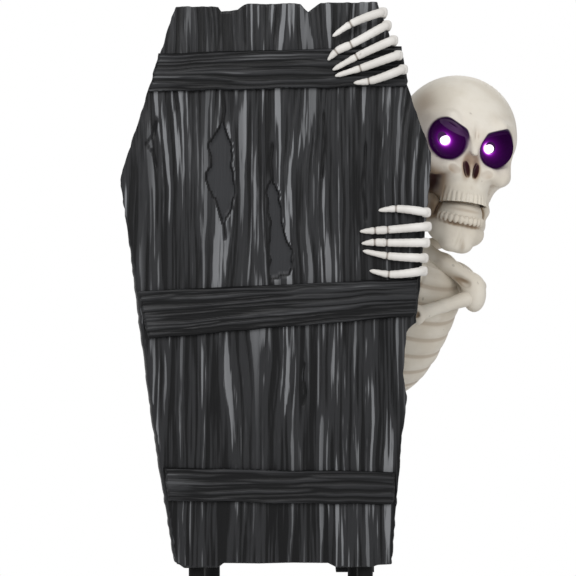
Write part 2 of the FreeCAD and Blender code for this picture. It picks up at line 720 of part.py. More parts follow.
def gear_outline(teeth, first, last, module, half_loss, phase=0.0):
    """Corners of an external involute gear, tooth numbers first to last, about the origin.

    A point of a flank is at radius r and turned from the tooth's middle by the half
    thickness angle at the pitch circle plus inv(20 degrees) less inv(acos(base / r)).
    Teeth are stub teeth, and half_loss is the backlash taken from each flank.
    """
    pitch = module * teeth / 2
    base = pitch * math.cos(math.radians(20))
    tip = pitch + 0.85 * module
    root = pitch - 1.1 * module
    involute = lambda angle: math.tan(angle) - angle
    half = math.pi / (2 * teeth) - half_loss / pitch + involute(math.radians(20))
    radii = [max(base, root) + (tip - max(base, root)) * step / 6 for step in range(7)]
    flank = [(radius, half - involute(math.acos(min(1.0, base / radius)))) for radius in radii]
    if root < base:
        flank.insert(0, (root, flank[0][1]))
    corners = []
    for number in range(first, last + 1):
        middle = phase + math.tau * number / teeth
        corners += [(radius, middle - turn) for radius, turn in flank]
        corners += [(radius, middle + turn) for radius, turn in reversed(flank)]
    return corners


def prism(corners, centre, depth):
    """A solid from corners given as (radius, angle) round a centre, extruded towards +Y."""
    points = [centre + Vector(radius * math.cos(angle), 0, radius * math.sin(angle))
              for radius, angle in corners]
    return Part.Face(Part.makePolygon(points + points[:1])).extrude(Vector(0, depth, 0))


def gear_plane():
    return (size("rear_tube_y") - size("tube_diameter") / 2 - size("rest_gap")
            + size("box_wall") + 4)


def build_gears():
    module, thickness = size("gear_module"), size("gear_thickness")
    sector_teeth, pinion_teeth = int(size("sector_teeth")), int(size("pinion_teeth"))
    low_y = gear_plane()
    loss = size("backlash") / 4
    # The sector faces -X where it meets the pinion; its teeth reach 18 degrees below that
    # and 44 degrees above, so that it stays in mesh over the whole swing.
    pitch_step = 360 / sector_teeth
    first, last = -int(44 / pitch_step), int(18 / pitch_step)
    facing = math.pi + math.radians(size("lean_angle"))
    corners = gear_outline(sector_teeth, first, last, module, loss, facing)
    hub_radius = size("shaft_diameter") / 2 + 5
    start = corners[0][1] - math.radians(2)
    end = corners[-1][1] + math.radians(2)
    corners = [(hub_radius * 0.8, start)] + corners + [(hub_radius * 0.8, end)]
    toothed = prism(corners, Vector(0, low_y, 0), thickness)
    hub = Part.makeCylinder(hub_radius, thickness + 8, Vector(0, low_y - 1, 0), Vector(0, 1, 0))
    hole = Part.makeCylinder(size("shaft_diameter") / 2 + size("fit_gap"), thickness + 20,
                             Vector(0, low_y - 5, 0), Vector(0, 1, 0))
    feature(toothed.fuse(hub).cut(hole), "sector_gear", "torso")
    corners = gear_outline(pinion_teeth, 0, pinion_teeth - 1, module, loss, math.pi / pinion_teeth)
    centre = Vector(size("pivot_x") - module * (sector_teeth + pinion_teeth) / 2, low_y,
                    size("pivot_height"))
    pinion = prism(corners, centre, thickness)
    cover_y = low_y - size("box_wall") - 4 + size("box_depth") + size("box_wall")
    reach = cover_y + size("motor_length") / 2 - low_y
    spindle = Part.makeCylinder(size("motor_shaft_diameter") / 2, reach, centre, Vector(0, 1, 0))
    feature(pinion.fuse(spindle), "drive_pinion")


def build_drive():
    plate = box("plate_blank", ("-rear_left_x - clamp_width / 2", PLATE_FRONT,
                                "pivot_height - plate_height / 2"),
                ("rear_left_x + rear_right_x + clamp_width", "plate_thickness", "plate_height"))
    tools = [rod("plate_bush_hole", "bush_diameter / 2 + fit_gap", "plate_thickness * 3",
                 ("pivot_x", PLATE_FRONT + " - plate_thickness", "pivot_height"), "Y")]
    for k, (across, height) in enumerate(plate_clamp_screws + post_spots):
        tools.append(bore("plate_hole_%d" % k, (across, PLATE_FRONT, height), "Y"))
    publish(cut("plate", plate, *tools), "drive_plate")

    clamps = []
    for k, (across, height) in enumerate(plate_clamp_spots):
        name = "plate_clamp_%d" % k
        block = tube_block(name + "_block", across, PLATE_BACK, CLAMP_BACK,
                           height + " - clamp_height / 2", "clamp_height")
        tools = [rod(name + "_bore", TUBE_BORE, "clamp_height * 2",
                     (across, "rear_tube_y", height + " - clamp_height"))]
        for n, side in enumerate(SCREW_SIDES):
            tools.append(bore("%s_pilot_%d" % (name, n), (across + " + " + side, PLATE_FRONT, height), "Y"))
        clamps.append(cut(name, block, *tools))
    publish(group("plate_clamp_group", clamps), "plate_clamps")

    shell = box("drive_shell", (BOX_LEFT, PLATE_BACK, "pivot_height - box_half_height"),
                ("(%s) - (%s)" % (BOX_RIGHT, BOX_LEFT), "box_depth", "box_half_height * 2"))
    hollow = box("drive_hollow", (BOX_LEFT + " + box_wall", PLATE_BACK + " + box_wall",
                                  "pivot_height - box_half_height + box_wall"),
                 ("(%s) - (%s) - box_wall * 2" % (BOX_RIGHT, BOX_LEFT), "box_depth",
                  "box_half_height * 2 - box_wall * 2"))
    posts = [box("drive_post_%d" % k, (across + " - post_width / 2", PLATE_BACK + " + box_wall / 2",
                                       height + " - post_width / 2"),
                 ("post_width", "box_depth - box_wall / 2", "post_width"))
             for k, (across, height) in enumerate(post_spots)]
    casing = fuse("drive_casing", cut("drive_tray", shell, hollow), *posts)
    tools = [rod("casing_bush_hole", "bush_diameter / 2 + fit_gap", "box_wall * 3",
                 ("pivot_x", PLATE_BACK + " - box_wall", "pivot_height"), "Y")]
    for k, (across, height) in enumerate(post_spots):
        tools.append(bore("post_front_%d" % k, (across, PLATE_FRONT, height), "Y"))
        tools.append(bore("post_rear_%d" % k, (across, COVER_Y + " + box_wall", height), "-Y"))
    publish(cut("casing", casing, *tools), "drive_box_body")

    cover = box("cover_blank", (BOX_LEFT, COVER_Y, "pivot_height - box_half_height"),
                ("(%s) - (%s)" % (BOX_RIGHT, BOX_LEFT), "box_wall", "box_half_height * 2"))
    tools = [rod("cover_bush_hole", "bush_diameter / 2 + fit_gap", "box_wall * 3",
                 ("pivot_x", COVER_Y + " - box_wall", "pivot_height"), "Y"),
             rod("cover_shaft_hole", "motor_shaft_diameter", "box_wall * 3",
                 (PINION_X, COVER_Y + " - box_wall", "pivot_height"), "Y")]
    for k, (across, height) in enumerate(post_spots):
        tools.append(bore("cover_hole_%d" % k, (across, COVER_Y + " + box_wall", height), "-Y"))
    for k, (across, height) in enumerate(flange_spots):
        tools.append(bore("flange_pilot_%d" % k,
                          (across, COVER_Y + " + box_wall + flange_thickness", height), "-Y"))
    publish(cut("cover", cover, *tools), "drive_box_cover")

    can = rod("motor_can", "motor_diameter / 2", "motor_length",
              (PINION_X, COVER_Y + " + box_wall", "pivot_height"), "Y")
    flange = box("motor_flange", (PINION_X + " - flange_width / 2", COVER_Y + " + box_wall",
                                  "pivot_height - screw_head_diameter"),
                 ("flange_width", "flange_thickness", "screw_head_diameter * 2"))
    tools = [rod("motor_bore", "motor_shaft_diameter / 2 + fit_gap", "motor_length * 0.7",
                 (PINION_X, COVER_Y + " + box_wall - 1", "pivot_height"), "Y")]
    for k, (across, height) in enumerate(flange_spots):
        tools.append(bore("flange_hole_%d" % k,
                          (across, COVER_Y + " + box_wall + flange_thickness", height), "-Y"))
    publish(cut("motor", fuse("motor_body", can, flange), *tools), "drive_motor")

    screws = [screw("plate_screw_%d" % k, (across, PLATE_FRONT, height), "Y")
              for k, (across, height) in enumerate(plate_clamp_screws + post_spots)]
    screws += [screw("box_screw_%d" % k, (across, COVER_Y + " + box_wall", height), "-Y")
               for k, (across, height) in enumerate(post_spots)]
    screws += [screw("motor_screw_%d" % k, (across, COVER_Y + " + box_wall + flange_thickness", height),
                     "-Y", "flange_thickness + box_wall")
               for k, (across, height) in enumerate(flange_spots)]
    publish(group("drive_screw_group", screws), "drive_screws")

    bushes = []
    for name, start, length in (("front_bush", PLATE_FRONT + " - 1", "plate_thickness + box_wall + 3"),
                                ("rear_bush", COVER_Y + " - 4", "box_wall + 5")):
        ring = rod(name + "_ring", "bush_diameter / 2", length, ("pivot_x", start, "pivot_height"), "Y")
        hole = rod(name + "_hole", "shaft_diameter / 2 + fit_gap", "box_depth",
                   ("pivot_x", start + " - box_wall", "pivot_height"), "Y")
        bushes.append(cut(name, ring, hole))
    publish(group("bush_group", bushes), "drive_bushes")
    build_gears()


# ---------------------------------------------------------------- torso

SPINE_Y = "arm_plane + arm_thickness + spine_diameter / 2"
arm_screw_spots = [("0", "arm_plane", "spine_bottom + 10"), ("0", "arm_plane", "arm_reach - 10")]
# Rib cage sections: share of the height, share of the full half width.
CHEST_SECTIONS = [(0, 0.5), (0.1, 0.69), (0.22, 0.85), (0.4, 0.96), (0.6, 1), (0.8, 0.97),
                  (0.92, 0.86), (1, 0.66)]


def chest_loft(name, inset):
    """Rib cage as a loft of ellipses, each drawn in by an inset formula."""
    last = len(CHEST_SECTIONS) - 1
    rings = []
    for k, (rise, share) in enumerate(CHEST_SECTIONS):
        ring = doc.addObject("Part::Ellipse", "%s_%d" % (name, k))
        bind(ring, "MajorRadius", "chest_half_width * %s - (%s)" % (share, inset))
        bind(ring, "MinorRadius", "chest_half_width * %s * chest_depth_ratio - (%s)" % (share, inset))
        end = "+ (%s)" % inset if k == 0 else "- (%s)" % inset if k == last else ""
        place(ring, ("0", SPINE_Y, "chest_bottom + chest_height * %s %s" % (rise, end)))
        rings.append(ring)
    piece = doc.addObject("Part::Loft", name)
    piece.Sections = rings
    piece.Solid = True
    return piece


def build_torso():
    shaft = rod("torso_shaft", "shaft_diameter / 2", "(%s + box_wall + 2) - (arm_plane - 2)" % COVER_Y,
                ("0", "arm_plane - 2", "0"), "Y")
    publish(shaft, "output_shaft", "torso")
    bar = box("arm_bar", ("-arm_width / 2", "arm_plane", "0"), ("arm_width", "arm_thickness", "arm_reach"))
    eye = rod("arm_eye", "arm_width / 2", "arm_thickness", ("0", "arm_plane", "0"), "Y")
    tools = [rod("arm_bore", "shaft_diameter / 2 + fit_gap", "arm_thickness * 3",
                 ("0", "arm_plane - arm_thickness", "0"), "Y")]
    tools += [bore("arm_hole_%d" % k, spot, "Y") for k, spot in enumerate(arm_screw_spots)]
    publish(cut("arm", fuse("arm_body", bar, eye), *tools), "swing_arm", "torso")
    outer = rod("spine_outer", "spine_diameter / 2", "spine_top - spine_bottom",
                ("0", SPINE_Y, "spine_bottom"))
    inner = rod("spine_inner", "spine_diameter / 2 - tube_wall", "spine_top - spine_bottom",
                ("0", SPINE_Y, "spine_bottom"))
    holes = [bore("spine_hole_%d" % k, spot, "Y") for k, spot in enumerate(arm_screw_spots)]
    publish(cut("spine", outer, inner, *holes), "spine_tube", "torso")
    screws = [screw("arm_screw_%d" % k, spot, "Y") for k, spot in enumerate(arm_screw_spots)]
    publish(group("arm_screw_group", screws), "arm_screws", "torso")

    shell = cut("chest_shell", chest_loft("chest_outer", "0"), chest_loft("chest_inner", "chest_wall"),
                rod("chest_spine_hole", "spine_diameter / 2 + rest_gap", "chest_height * 2",
                    ("0", SPINE_Y, "0")),
                box("chest_arm_slot", ("-arm_width / 2 - rest_gap", "arm_plane - screw_head_height - 1", "0"),
                    ("arm_width + 2 * rest_gap", "arm_thickness + screw_head_height + 2",
                     "arm_reach + rest_gap")))
    for name, low in (("rib_cage_front", SPINE_Y + " - chest_half_width * 2"), ("rib_cage_back", SPINE_Y)):
        half = box(name + "_half", ("-chest_half_width * 2", low, "0"),
                   ("chest_half_width * 4", "chest_half_width * 2", "chest_bottom + chest_height * 2"))
        publish(common(name, shell, half), name, "torso")

    spine_y = size("arm_plane") + size("arm_thickness") + size("spine_diameter") / 2
    reach, rise, ball_radius = size("shoulder_reach"), size("shoulder_rise"), size("shoulder_radius")
    shaft_radius = size("arm_bone_radius")
    collar_y = spine_y - 22
    collar_line = [(0.87, 10, 24, 8), (0.47, 0, 23, 9.5), (0, 0, 31, 11)]
    collar_line = [(-share, *rest) for share, *rest in collar_line] + collar_line[-2::-1]
    collar = bone([Vector(share * reach, collar_y - forward, rise + lift)
                   for share, forward, lift, radius in collar_line],
                  [radius for share, forward, lift, radius in collar_line])
    feature(joined(collar), "collar_bones", "torso")
    for name, side, elbow in (("upper_arm_right", 1, Vector(21, 21, 228)),
                              ("upper_arm_left", -1, Vector(-122, 50, 375))):
        shoulder = Vector(side * reach, spine_y - 38, rise - 2)
        limb = bone([shoulder, elbow], [ball_radius, shaft_radius])
        limb[-1] = Part.makeCone(ball_radius * 0.6, shaft_radius, (elbow - shoulder).Length,
                                 shoulder, elbow - shoulder)
        feature(joined(limb), name, "torso")


# ---------------------------------------------------------------- neck and head

NECK_TOP = 98


def neck_axis_rod(name, radius, length, low):
    return rod(name, radius, length, ("0", "neck_back", low))


def build_neck():
    motor = neck_axis_rod("neck_can", "neck_motor_radius", "neck_motor_length",
                          "-%s - neck_motor_length" % NECK_TOP)
    hole = neck_axis_rod("neck_bore", "neck_shaft_diameter / 2 + fit_gap", "neck_motor_length",
                         "-%s - 12" % NECK_TOP)
    publish(cut("neck_motor_piece", motor, hole), "neck_motor", "head")
    bodies = [neck_axis_rod("neck_core", "neck_sleeve_radius - 3", "neck_motor_length + 4",
                            "-%s - neck_motor_length - 1" % NECK_TOP)]
    for k in range(3):
        bodies.append(neck_axis_rod("vertebra_%d" % k, "neck_sleeve_radius", "neck_motor_length / 5",
                                    "-%s - neck_motor_length * %s" % (NECK_TOP, 0.9 - 0.36 * k)))
    space = neck_axis_rod("neck_space", "neck_motor_radius + fit_gap", "neck_motor_length * 3",
                          "-%s - neck_motor_length * 2" % NECK_TOP)
    publish(cut("neck_bones_piece", fuse("neck_column", *bodies), space), "neck_bones", "head")
    torso_base = Vector(size("pivot_x"), 0, size("pivot_height"))
    head_base = Vector(size("head_x"), size("head_y"), size("head_height"))
    spine_y = size("arm_plane") + size("arm_thickness") + size("spine_diameter") / 2
    low_radius, high_radius = 8.5, 9
    tube_end = Vector(0, spine_y, size("spine_top"))
    low = torso_base + FRAMES["torso"][1].multVec(tube_end + Vector(0, 0, low_radius + size("rest_gap")))
    motor_end = Vector(0, size("neck_back"), -NECK_TOP - size("neck_motor_length"))
    high = head_base + FRAMES["head"][1].multVec(motor_end - Vector(0, 0, high_radius + size("rest_gap")))
    feature(joined(bone([low, high], [low_radius, high_radius])), "neck_bracket")

    shaft = neck_axis_rod("neck_shaft_rod", "neck_shaft_diameter / 2",
                          "%s + 11 - skull_base_drop + skull_wall + 3" % NECK_TOP, "-%s - 11" % NECK_TOP)
    disc = neck_axis_rod("neck_shaft_disc", "neck_motor_radius", "3",
                         "-skull_base_drop + skull_wall + rest_gap")
    publish(fuse("neck_shaft_piece", shaft, disc), "neck_shaft", "head")


def skull_solid(name, inset):
    """Cranium with a flat base, and the face below it, each drawn in by an inset formula."""
    dome = ball(name + "_dome", ("0", "0", "0"),
                ["cranium_half_%s - (%s)" % (side, inset) for side in ("width", "depth", "height")])
    keep = box(name + "_keep", ("-cranium_half_width * 2", "-cranium_half_depth * 2",
                                "-skull_base_drop + (%s)" % inset),
               ("cranium_half_width * 4", "cranium_half_depth * 4", "cranium_half_height * 4"))
    parts = [common(name + "_cranium", dome, keep),
             ball(name + "_face", ("0", "-cranium_half_depth * 0.41", "-cranium_half_height * 0.58"),
                  ("cranium_half_width * 0.66 - (%s)" % inset, "cranium_half_depth * 0.49 - (%s)" % inset,
                   "cranium_half_height * 0.62 - (%s)" % inset))]
    return parts


def build_head():
    outer = skull_solid("skull_outer", "0")
    outer.append(ball("upper_teeth", ("0", "-58", "-82"), ("30", "27", "11")))
    for side, sign in (("left", "-"), ("right", "")):
        outer.append(ball("cheek_" + side, (sign + "44", "-50", "-36"), ("16", "18", "14")))
        low_x = "-38" if sign else "30"
        outer.append(box("jaw_lug_" + side, (low_x, "-jaw_hinge_forward - 6", "-jaw_hinge_drop - 6"),
                         ("8", "12", "jaw_hinge_drop - skull_base_drop + 8")))
    inner = skull_solid("skull_inner", "skull_wall")
    tools = inner + [neck_axis_rod("skull_base_hole", "neck_shaft_diameter / 2 + 1", "20",
                                   "-skull_base_drop - 10"),
                     rod("lug_bore", "jaw_pin_diameter / 2 + fit_gap", "jaw_half_width * 2",
                         ("-jaw_half_width", "-jaw_hinge_forward", "-jaw_hinge_drop"), "X")]
    tools.append(box("jaw_motor_space", ("-25 - rest_gap", "-jaw_hinge_forward - 7 - rest_gap",
                                         "-jaw_hinge_drop - 22"),
                     ("50 + rest_gap * 2", "14 + rest_gap * 2",
                      "jaw_hinge_drop - skull_base_drop + 22 - rest_gap / 2")))
    for side, sign in (("left", "-"), ("right", "")):
        tools.append(rod("socket_" + side, "socket_radius", "cranium_half_depth * 0.8",
                         (sign + "socket_spacing / 2", "-cranium_half_depth * 1.2", "-socket_drop"), "Y"))
    skull = cut("skull", fuse("skull_outer_body", *outer), *tools)
    for name, low in (("skull_front", "skull_split - cranium_half_depth * 2"), ("skull_back", "skull_split")):
        half = box(name + "_half", ("-cranium_half_width * 2", low, "-cranium_half_height * 3"),
                   ("cranium_half_width * 4", "cranium_half_depth * 2", "cranium_half_height * 6"))
        publish(common(name, skull, half), name, "head")
    cups = []
    lenses = []
    for side, sign in (("left", "-"), ("right", "")):
        centre = sign + "socket_spacing / 2"
        name = "eye_cup_" + side
        rim = rod(name + "_rim", "socket_radius - fit_gap", "30", (centre, "-78", "-socket_drop"), "Y")
        space = rod(name + "_space", "socket_radius - fit_gap - cup_wall", "28",
                    (centre, "-78", "-socket_drop"), "Y")
        seat = rod(name + "_seat", "lens_radius + fit_gap", "20", (centre, "-60", "-socket_drop"), "Y")
        cups.append(cut(name, rim, space, seat))
        name = "eye_lens_" + side
        stem = rod(name + "_stem", "lens_radius", "12", (centre, "-54", "-socket_drop"), "Y")
        dome = ball(name + "_dome", (centre, "-54", "-socket_drop"), ("lens_radius",) * 3)
        lenses.append(fuse(name, stem, dome))
    publish(group("eye_cup_group", cups), "eye_cups", "head")
    publish(group("eye_lens_group", lenses), "eye_lenses", "head")
    motor = box("jaw_motor_box", ("-25", "-jaw_hinge_forward - 7", "-jaw_hinge_drop - 8"),
                ("50", "14", "jaw_hinge_drop - skull_base_drop + 8 - rest_gap"))
    hole = rod("jaw_motor_bore", "jaw_pin_diameter / 2 + fit_gap", "60",
               ("-30", "-jaw_hinge_forward", "-jaw_hinge_drop"), "X")
    publish(cut("jaw_motor_piece", motor, hole), "jaw_motor", "head")

    half_width, hinge_drop = size("jaw_half_width"), size("jaw_hinge_drop")
    forward, chin_drop, chin_forward = size("jaw_hinge_forward"), size("chin_drop"), size("chin_forward")
    branch, lug_gap, arch = 7, 4, 20
    side_outline = [
        (-forward + branch, -hinge_drop + branch), (-forward - branch, -hinge_drop + branch),
        (-forward - 10, -hinge_drop - 22), (-chin_forward - 8, -chin_drop + 41),
        (-chin_forward - 12, -chin_drop + 8), (-chin_forward - 8, -chin_drop - 10),
        (-chin_forward + 12, -chin_drop - 10), (-forward - 14, -chin_drop + 22),
        (-forward + branch, -hinge_drop - 34),
    ]
    half_plan = [(half_width + branch, 0), (half_width + 4, -forward - 20),
                 (half_width * 0.78, -chin_forward + 2), (half_width * 0.4, -chin_forward - 12)]
    half_gap = [(half_width - lug_gap, 1), (half_width - lug_gap, -forward - 20),
                (half_width * 0.56, -chin_forward - 12 + arch)]
    side_face = Part.Face(Part.makePolygon([Vector(-half_width * 2, y, z)
                                            for y, z in side_outline + side_outline[:1]]))
    jaw = side_face.extrude(Vector(half_width * 4, 0, 0))
    for outline, keep in ((half_plan, True), (half_gap, False)):
        mirrored = outline + [(-x, y) for x, y in outline[::-1]] + outline[:1]
        face = Part.Face(Part.makePolygon([Vector(x, y, -chin_drop * 2) for x, y in mirrored]))
        block = face.extrude(Vector(0, 0, chin_drop * 2))
        jaw = jaw.common(block) if keep else jaw.cut(block)
    jaw = jaw.cut(Part.makeCylinder(size("jaw_pin_diameter") / 2 + size("fit_gap"), half_width * 4,
                                    Vector(-half_width * 2, -forward, -hinge_drop), Vector(1, 0, 0)))
    feature(jaw, "jaw_bone", "head")
    pins = [rod("jaw_pin_left", "jaw_pin_diameter / 2", "jaw_half_width - 14",
                ("-jaw_half_width - 6", "-jaw_hinge_forward", "-jaw_hinge_drop"), "X"),
            rod("jaw_pin_right", "jaw_pin_diameter / 2", "jaw_half_width - 14",
                ("20", "-jaw_hinge_forward", "-jaw_hinge_drop"), "X")]
    publish(group("jaw_pin_group", pins), "jaw_pins", "head")


# ---------------------------------------------------------------- control box

CONTROL_LEFT = "rear_right_x - control_width / 2"
CONTROL_FRONT = CLAMP_BACK + " + rest_gap"
CONTROL_LOW = "coffin_base - control_drop"
CONTROL_TOP = CONTROL_LOW + " + control_height"
CONTROL_BACK = CONTROL_FRONT + " + control_depth"
DOOR_LOW = CONTROL_LOW + " + control_wall + 0.8"
HINGE_Y = CONTROL_BACK + " - door_thickness / 2"
HINGE_Z = DOOR_LOW + " + door_thickness / 2"
BUTTON_SPOT = (CONTROL_LEFT + " + control_width * 0.3", CONTROL_FRONT + " + control_depth * 0.5")
SWITCH_SPOT = (CONTROL_LEFT + " + control_width * 0.76", CONTROL_FRONT + " + control_depth * 0.5")


def build_control_box():
    shell = box("control_shell", (CONTROL_LEFT, CONTROL_FRONT, CONTROL_LOW),
                ("control_width", "control_depth", "control_height"))
    hollow = box("control_hollow", (CONTROL_LEFT + " + control_wall", CONTROL_FRONT + " + control_wall",
                                    CONTROL_LOW + " + control_wall"),
                 ("control_width - 2 * control_wall", "control_depth", "control_height - 2 * control_wall"))
    lugs = []
    tools = []
    for k, height in enumerate(("control_drop * 0.6", "control_drop * 1.9")):
        low = CONTROL_LOW + " + " + height
        lugs.append(tube_block("control_lug_%d" % k, "rear_right_x", "rear_tube_y - " + FITTING,
                               CONTROL_FRONT + " + control_wall / 2", low, "clamp_height * 0.8",
                               "tube_diameter + 2 * fitting_wall"))
    tools.append(rod("control_lug_bore", TUBE_BORE, "control_height * 2",
                     ("rear_right_x", "rear_tube_y", CONTROL_LOW + " - control_height / 2")))
    tools.append(rod("button_hole", "button_diameter / 2 + fit_gap", "control_wall * 3",
                     BUTTON_SPOT + (CONTROL_TOP + " - control_wall * 2",)))
    tools.append(box("switch_slot", (SWITCH_SPOT[0] + " - 1.8", SWITCH_SPOT[1] + " - 1.8",
                                     CONTROL_TOP + " - control_wall * 2"),
                     ("3.6", "3.6 + switch_travel", "control_wall * 3")))
    tools.append(rod("door_pin_holes", "1 + fit_gap", "control_width",
                     (CONTROL_LEFT, HINGE_Y, HINGE_Z), "X"))
    publish(cut("control_case", fuse("control_body", cut("control_tray", shell, hollow), *lugs), *tools),
            "control_box_body")

    cover = box("control_cover_blank", (CONTROL_LEFT + " + control_wall + fit_gap",
                                        CONTROL_BACK + " - control_wall",
                                        DOOR_LOW + " + door_height + 0.8"),
                ("control_width - 2 * control_wall - 2 * fit_gap", "control_wall",
                 "control_height - 2 * control_wall - door_height - 1.6 - fit_gap"))
    grille = []
    for row in range(-1, 2):
        for column in range(-2, 3):
            grille.append(rod("grille_%d_%d" % (row + 1, column + 2), "1.2", "control_wall * 3",
                              ("rear_right_x + %d" % (column * 5), CONTROL_BACK + " - control_wall * 2",
                               CONTROL_TOP + " - control_wall - 15 + %d" % (row * 5)), "Y"))
    publish(cut("control_cover_piece", cover, *grille), "control_box_cover")

    leaf = box("door_leaf", (CONTROL_LEFT + " + control_wall + 0.4", CONTROL_BACK + " - door_thickness",
                             DOOR_LOW), ("control_width - 2 * control_wall - 0.8", "door_thickness",
                                         "door_height"))
    pins = rod("door_pins", "1", "control_width - 2 * control_wall + 3.2",
               (CONTROL_LEFT + " + control_wall - 1.6", HINGE_Y, HINGE_Z), "X")
    publish(fuse("door", leaf, pins), "battery_door")
    cells = [rod("cell_%d" % k, "cell_diameter / 2", "cell_length",
                 ("rear_right_x + %d * (cell_diameter + 0.5)" % (k - 1),
                  CONTROL_FRONT + " + control_depth * 0.55", CONTROL_LOW + " + control_wall + 2"))
             for k in range(3)]
    publish(group("cell_group", cells), "battery_cells")
    board = box("board_blank", (CONTROL_LEFT + " + control_wall + 2", CONTROL_FRONT + " + control_depth * 0.15",
                                CONTROL_LOW + " + door_height + 6"),
                ("control_width - 2 * control_wall - 4", "1.6", "control_height - door_height - 14"))
    publish(board, "circuit_board")
    cone = rod("speaker_can", "12", "7", ("rear_right_x", CONTROL_BACK + " - control_wall - 7.2",
                                          CONTROL_TOP + " - control_wall - 15"), "Y")
    publish(cone, "speaker")
    cap = rod("button_cap", "button_diameter / 2", "control_wall * 2 + button_travel - 0.1",
              BUTTON_SPOT + (CONTROL_TOP + " - control_wall - 1.9",))
    lip = rod("button_lip", "button_diameter / 2 + 1.2", "1.6",
              BUTTON_SPOT + (CONTROL_TOP + " - control_wall - 1.9",))
    publish(fuse("button", cap, lip), "try_me_button")
    knob = box("switch_knob", (SWITCH_SPOT[0] + " - 3", SWITCH_SPOT[1] + " - 2.5", CONTROL_TOP + " + rest_gap"),
               ("6", "5", "4"))
    stem = box("switch_stem", (SWITCH_SPOT[0] + " - 1.5", SWITCH_SPOT[1] + " - 1.5",
                               CONTROL_TOP + " - control_wall - 3"), ("3", "3", "control_wall + 5"))
    publish(fuse("switch", knob, stem), "power_switch")


build_coffin()
build_hands()
build_stand()
build_drive()
build_torso()
build_neck()
build_head()
build_control_box()
doc.recompute()

failed = [piece.Name for piece in doc.Objects if "Invalid" in piece.State or "Error" in piece.State]
assert not failed, "objects that failed: %s" % failed
for piece in nodes:
    assert not piece.Shape.isNull() and piece.Shape.isValid(), "bad shape: %s" % piece.Label

os.makedirs("parts", exist_ok=True)
for piece in nodes:
    piece.Shape.exportStep("parts/%s.step" % piece.Label)
exact = [piece.Shape.optimalBoundingBox() for piece in nodes]
low = [min(getattr(reach, side) for reach in exact) for side in ("XMin", "YMin", "ZMin")]
high = [max(getattr(reach, side) for reach in exact) for side in ("XMax", "YMax", "ZMax")]
print(len(nodes), "nodes, box", [round(value, 2) for value in low], [round(value, 2) for value in high])
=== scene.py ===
import json
import logging
import math
from dataclasses import dataclass, field
from enum import Enum
from typing import Callable, Sequence

import bmesh
import bpy
import numpy as np
from mathutils import Matrix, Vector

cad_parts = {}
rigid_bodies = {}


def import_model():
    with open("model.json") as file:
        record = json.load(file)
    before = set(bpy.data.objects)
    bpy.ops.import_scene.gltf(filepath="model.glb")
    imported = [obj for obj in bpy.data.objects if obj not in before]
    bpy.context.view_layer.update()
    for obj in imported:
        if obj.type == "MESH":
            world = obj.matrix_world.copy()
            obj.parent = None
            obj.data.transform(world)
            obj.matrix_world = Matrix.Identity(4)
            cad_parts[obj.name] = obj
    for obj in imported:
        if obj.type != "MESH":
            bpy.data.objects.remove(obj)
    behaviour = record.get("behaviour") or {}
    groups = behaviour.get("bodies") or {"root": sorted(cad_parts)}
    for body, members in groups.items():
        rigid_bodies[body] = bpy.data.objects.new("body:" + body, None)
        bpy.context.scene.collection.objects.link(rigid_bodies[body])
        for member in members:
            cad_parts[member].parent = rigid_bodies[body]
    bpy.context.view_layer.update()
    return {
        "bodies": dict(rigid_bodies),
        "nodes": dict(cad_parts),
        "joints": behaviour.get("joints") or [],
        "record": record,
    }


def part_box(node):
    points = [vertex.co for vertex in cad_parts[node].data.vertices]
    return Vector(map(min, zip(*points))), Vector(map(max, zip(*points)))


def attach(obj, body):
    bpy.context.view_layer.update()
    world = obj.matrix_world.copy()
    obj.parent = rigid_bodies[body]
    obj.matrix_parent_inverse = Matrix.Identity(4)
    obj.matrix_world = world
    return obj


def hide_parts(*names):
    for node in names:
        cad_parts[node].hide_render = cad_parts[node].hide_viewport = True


LOG = logging.getLogger("coffin_skeleton")
MM = 0.001
Points = np.ndarray


# ---------------------------------------------------------------- frames

@dataclass(frozen=True)
class LocalFrame:
    """A right-handed frame in the row frame: its origin and its three axes as columns, in mm."""

    origin: Points
    axes: Points

    def out(self, points: Points) -> Points:
        """Row-frame points of local ones."""
        return points @ self.axes.T + self.origin

    def spot(self, *point: float) -> tuple[float, ...]:
        """One local point, in mm, as a row-frame point in metres."""
        return tuple(float(v) * MM for v in self.out(np.array(point, float)))


def joint(frame: dict, name: str) -> dict:
    """The record's joint of that name."""
    return next(j for j in frame["joints"] if j["name"] == name)


@dataclass(frozen=True)
class Places:
    """The local frames of the object's sub-assemblies."""

    coffin: LocalFrame
    torso: LocalFrame
    head: LocalFrame

    HALF_WIDTH_LEFT = 194.0
    SKIRT_DIP = 4.0
    FACE_Y = -60.0
    LEAN = 22.0
    NECK_BACK = 10.0
    NECK_TOP = 98.0

    @classmethod
    def read(cls, frame: dict) -> "Places":
        """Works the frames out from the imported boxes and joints.

        The coffin's origin is the middle of its bottom edge in the plane of its face. The torso leans
        about the swing joint. The head's upright axis is the turning joint's, and its axis across is
        the jaw's.


        Returns:
            The three frames.
        """
        low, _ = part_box("coffin_front")
        coffin = LocalFrame(np.array([low.x / MM + cls.HALF_WIDTH_LEFT, cls.FACE_Y,
                                      low.z / MM + cls.SKIRT_DIP]), np.eye(3))
        swing = np.array(joint(frame, "peek_swing")["pos_m"]) / MM
        lean = math.radians(cls.LEAN)
        torso_axes = np.array([[math.cos(lean), 0, math.sin(lean)], [0, 1, 0],
                               [-math.sin(lean), 0, math.cos(lean)]])
        torso = LocalFrame(np.array([swing[0], 0.0, swing[2]]), torso_axes)
        turn = joint(frame, "head_turn")
        up = np.array(turn["axis"])
        across = np.array(joint(frame, "jaw_open")["axis"])
        head_axes = np.column_stack([across, np.cross(up, across), up])
        base = np.array(turn["pos_m"]) / MM - head_axes @ np.array([0, cls.NECK_BACK, -cls.NECK_TOP])
        return cls(coffin, torso, LocalFrame(base, head_axes))


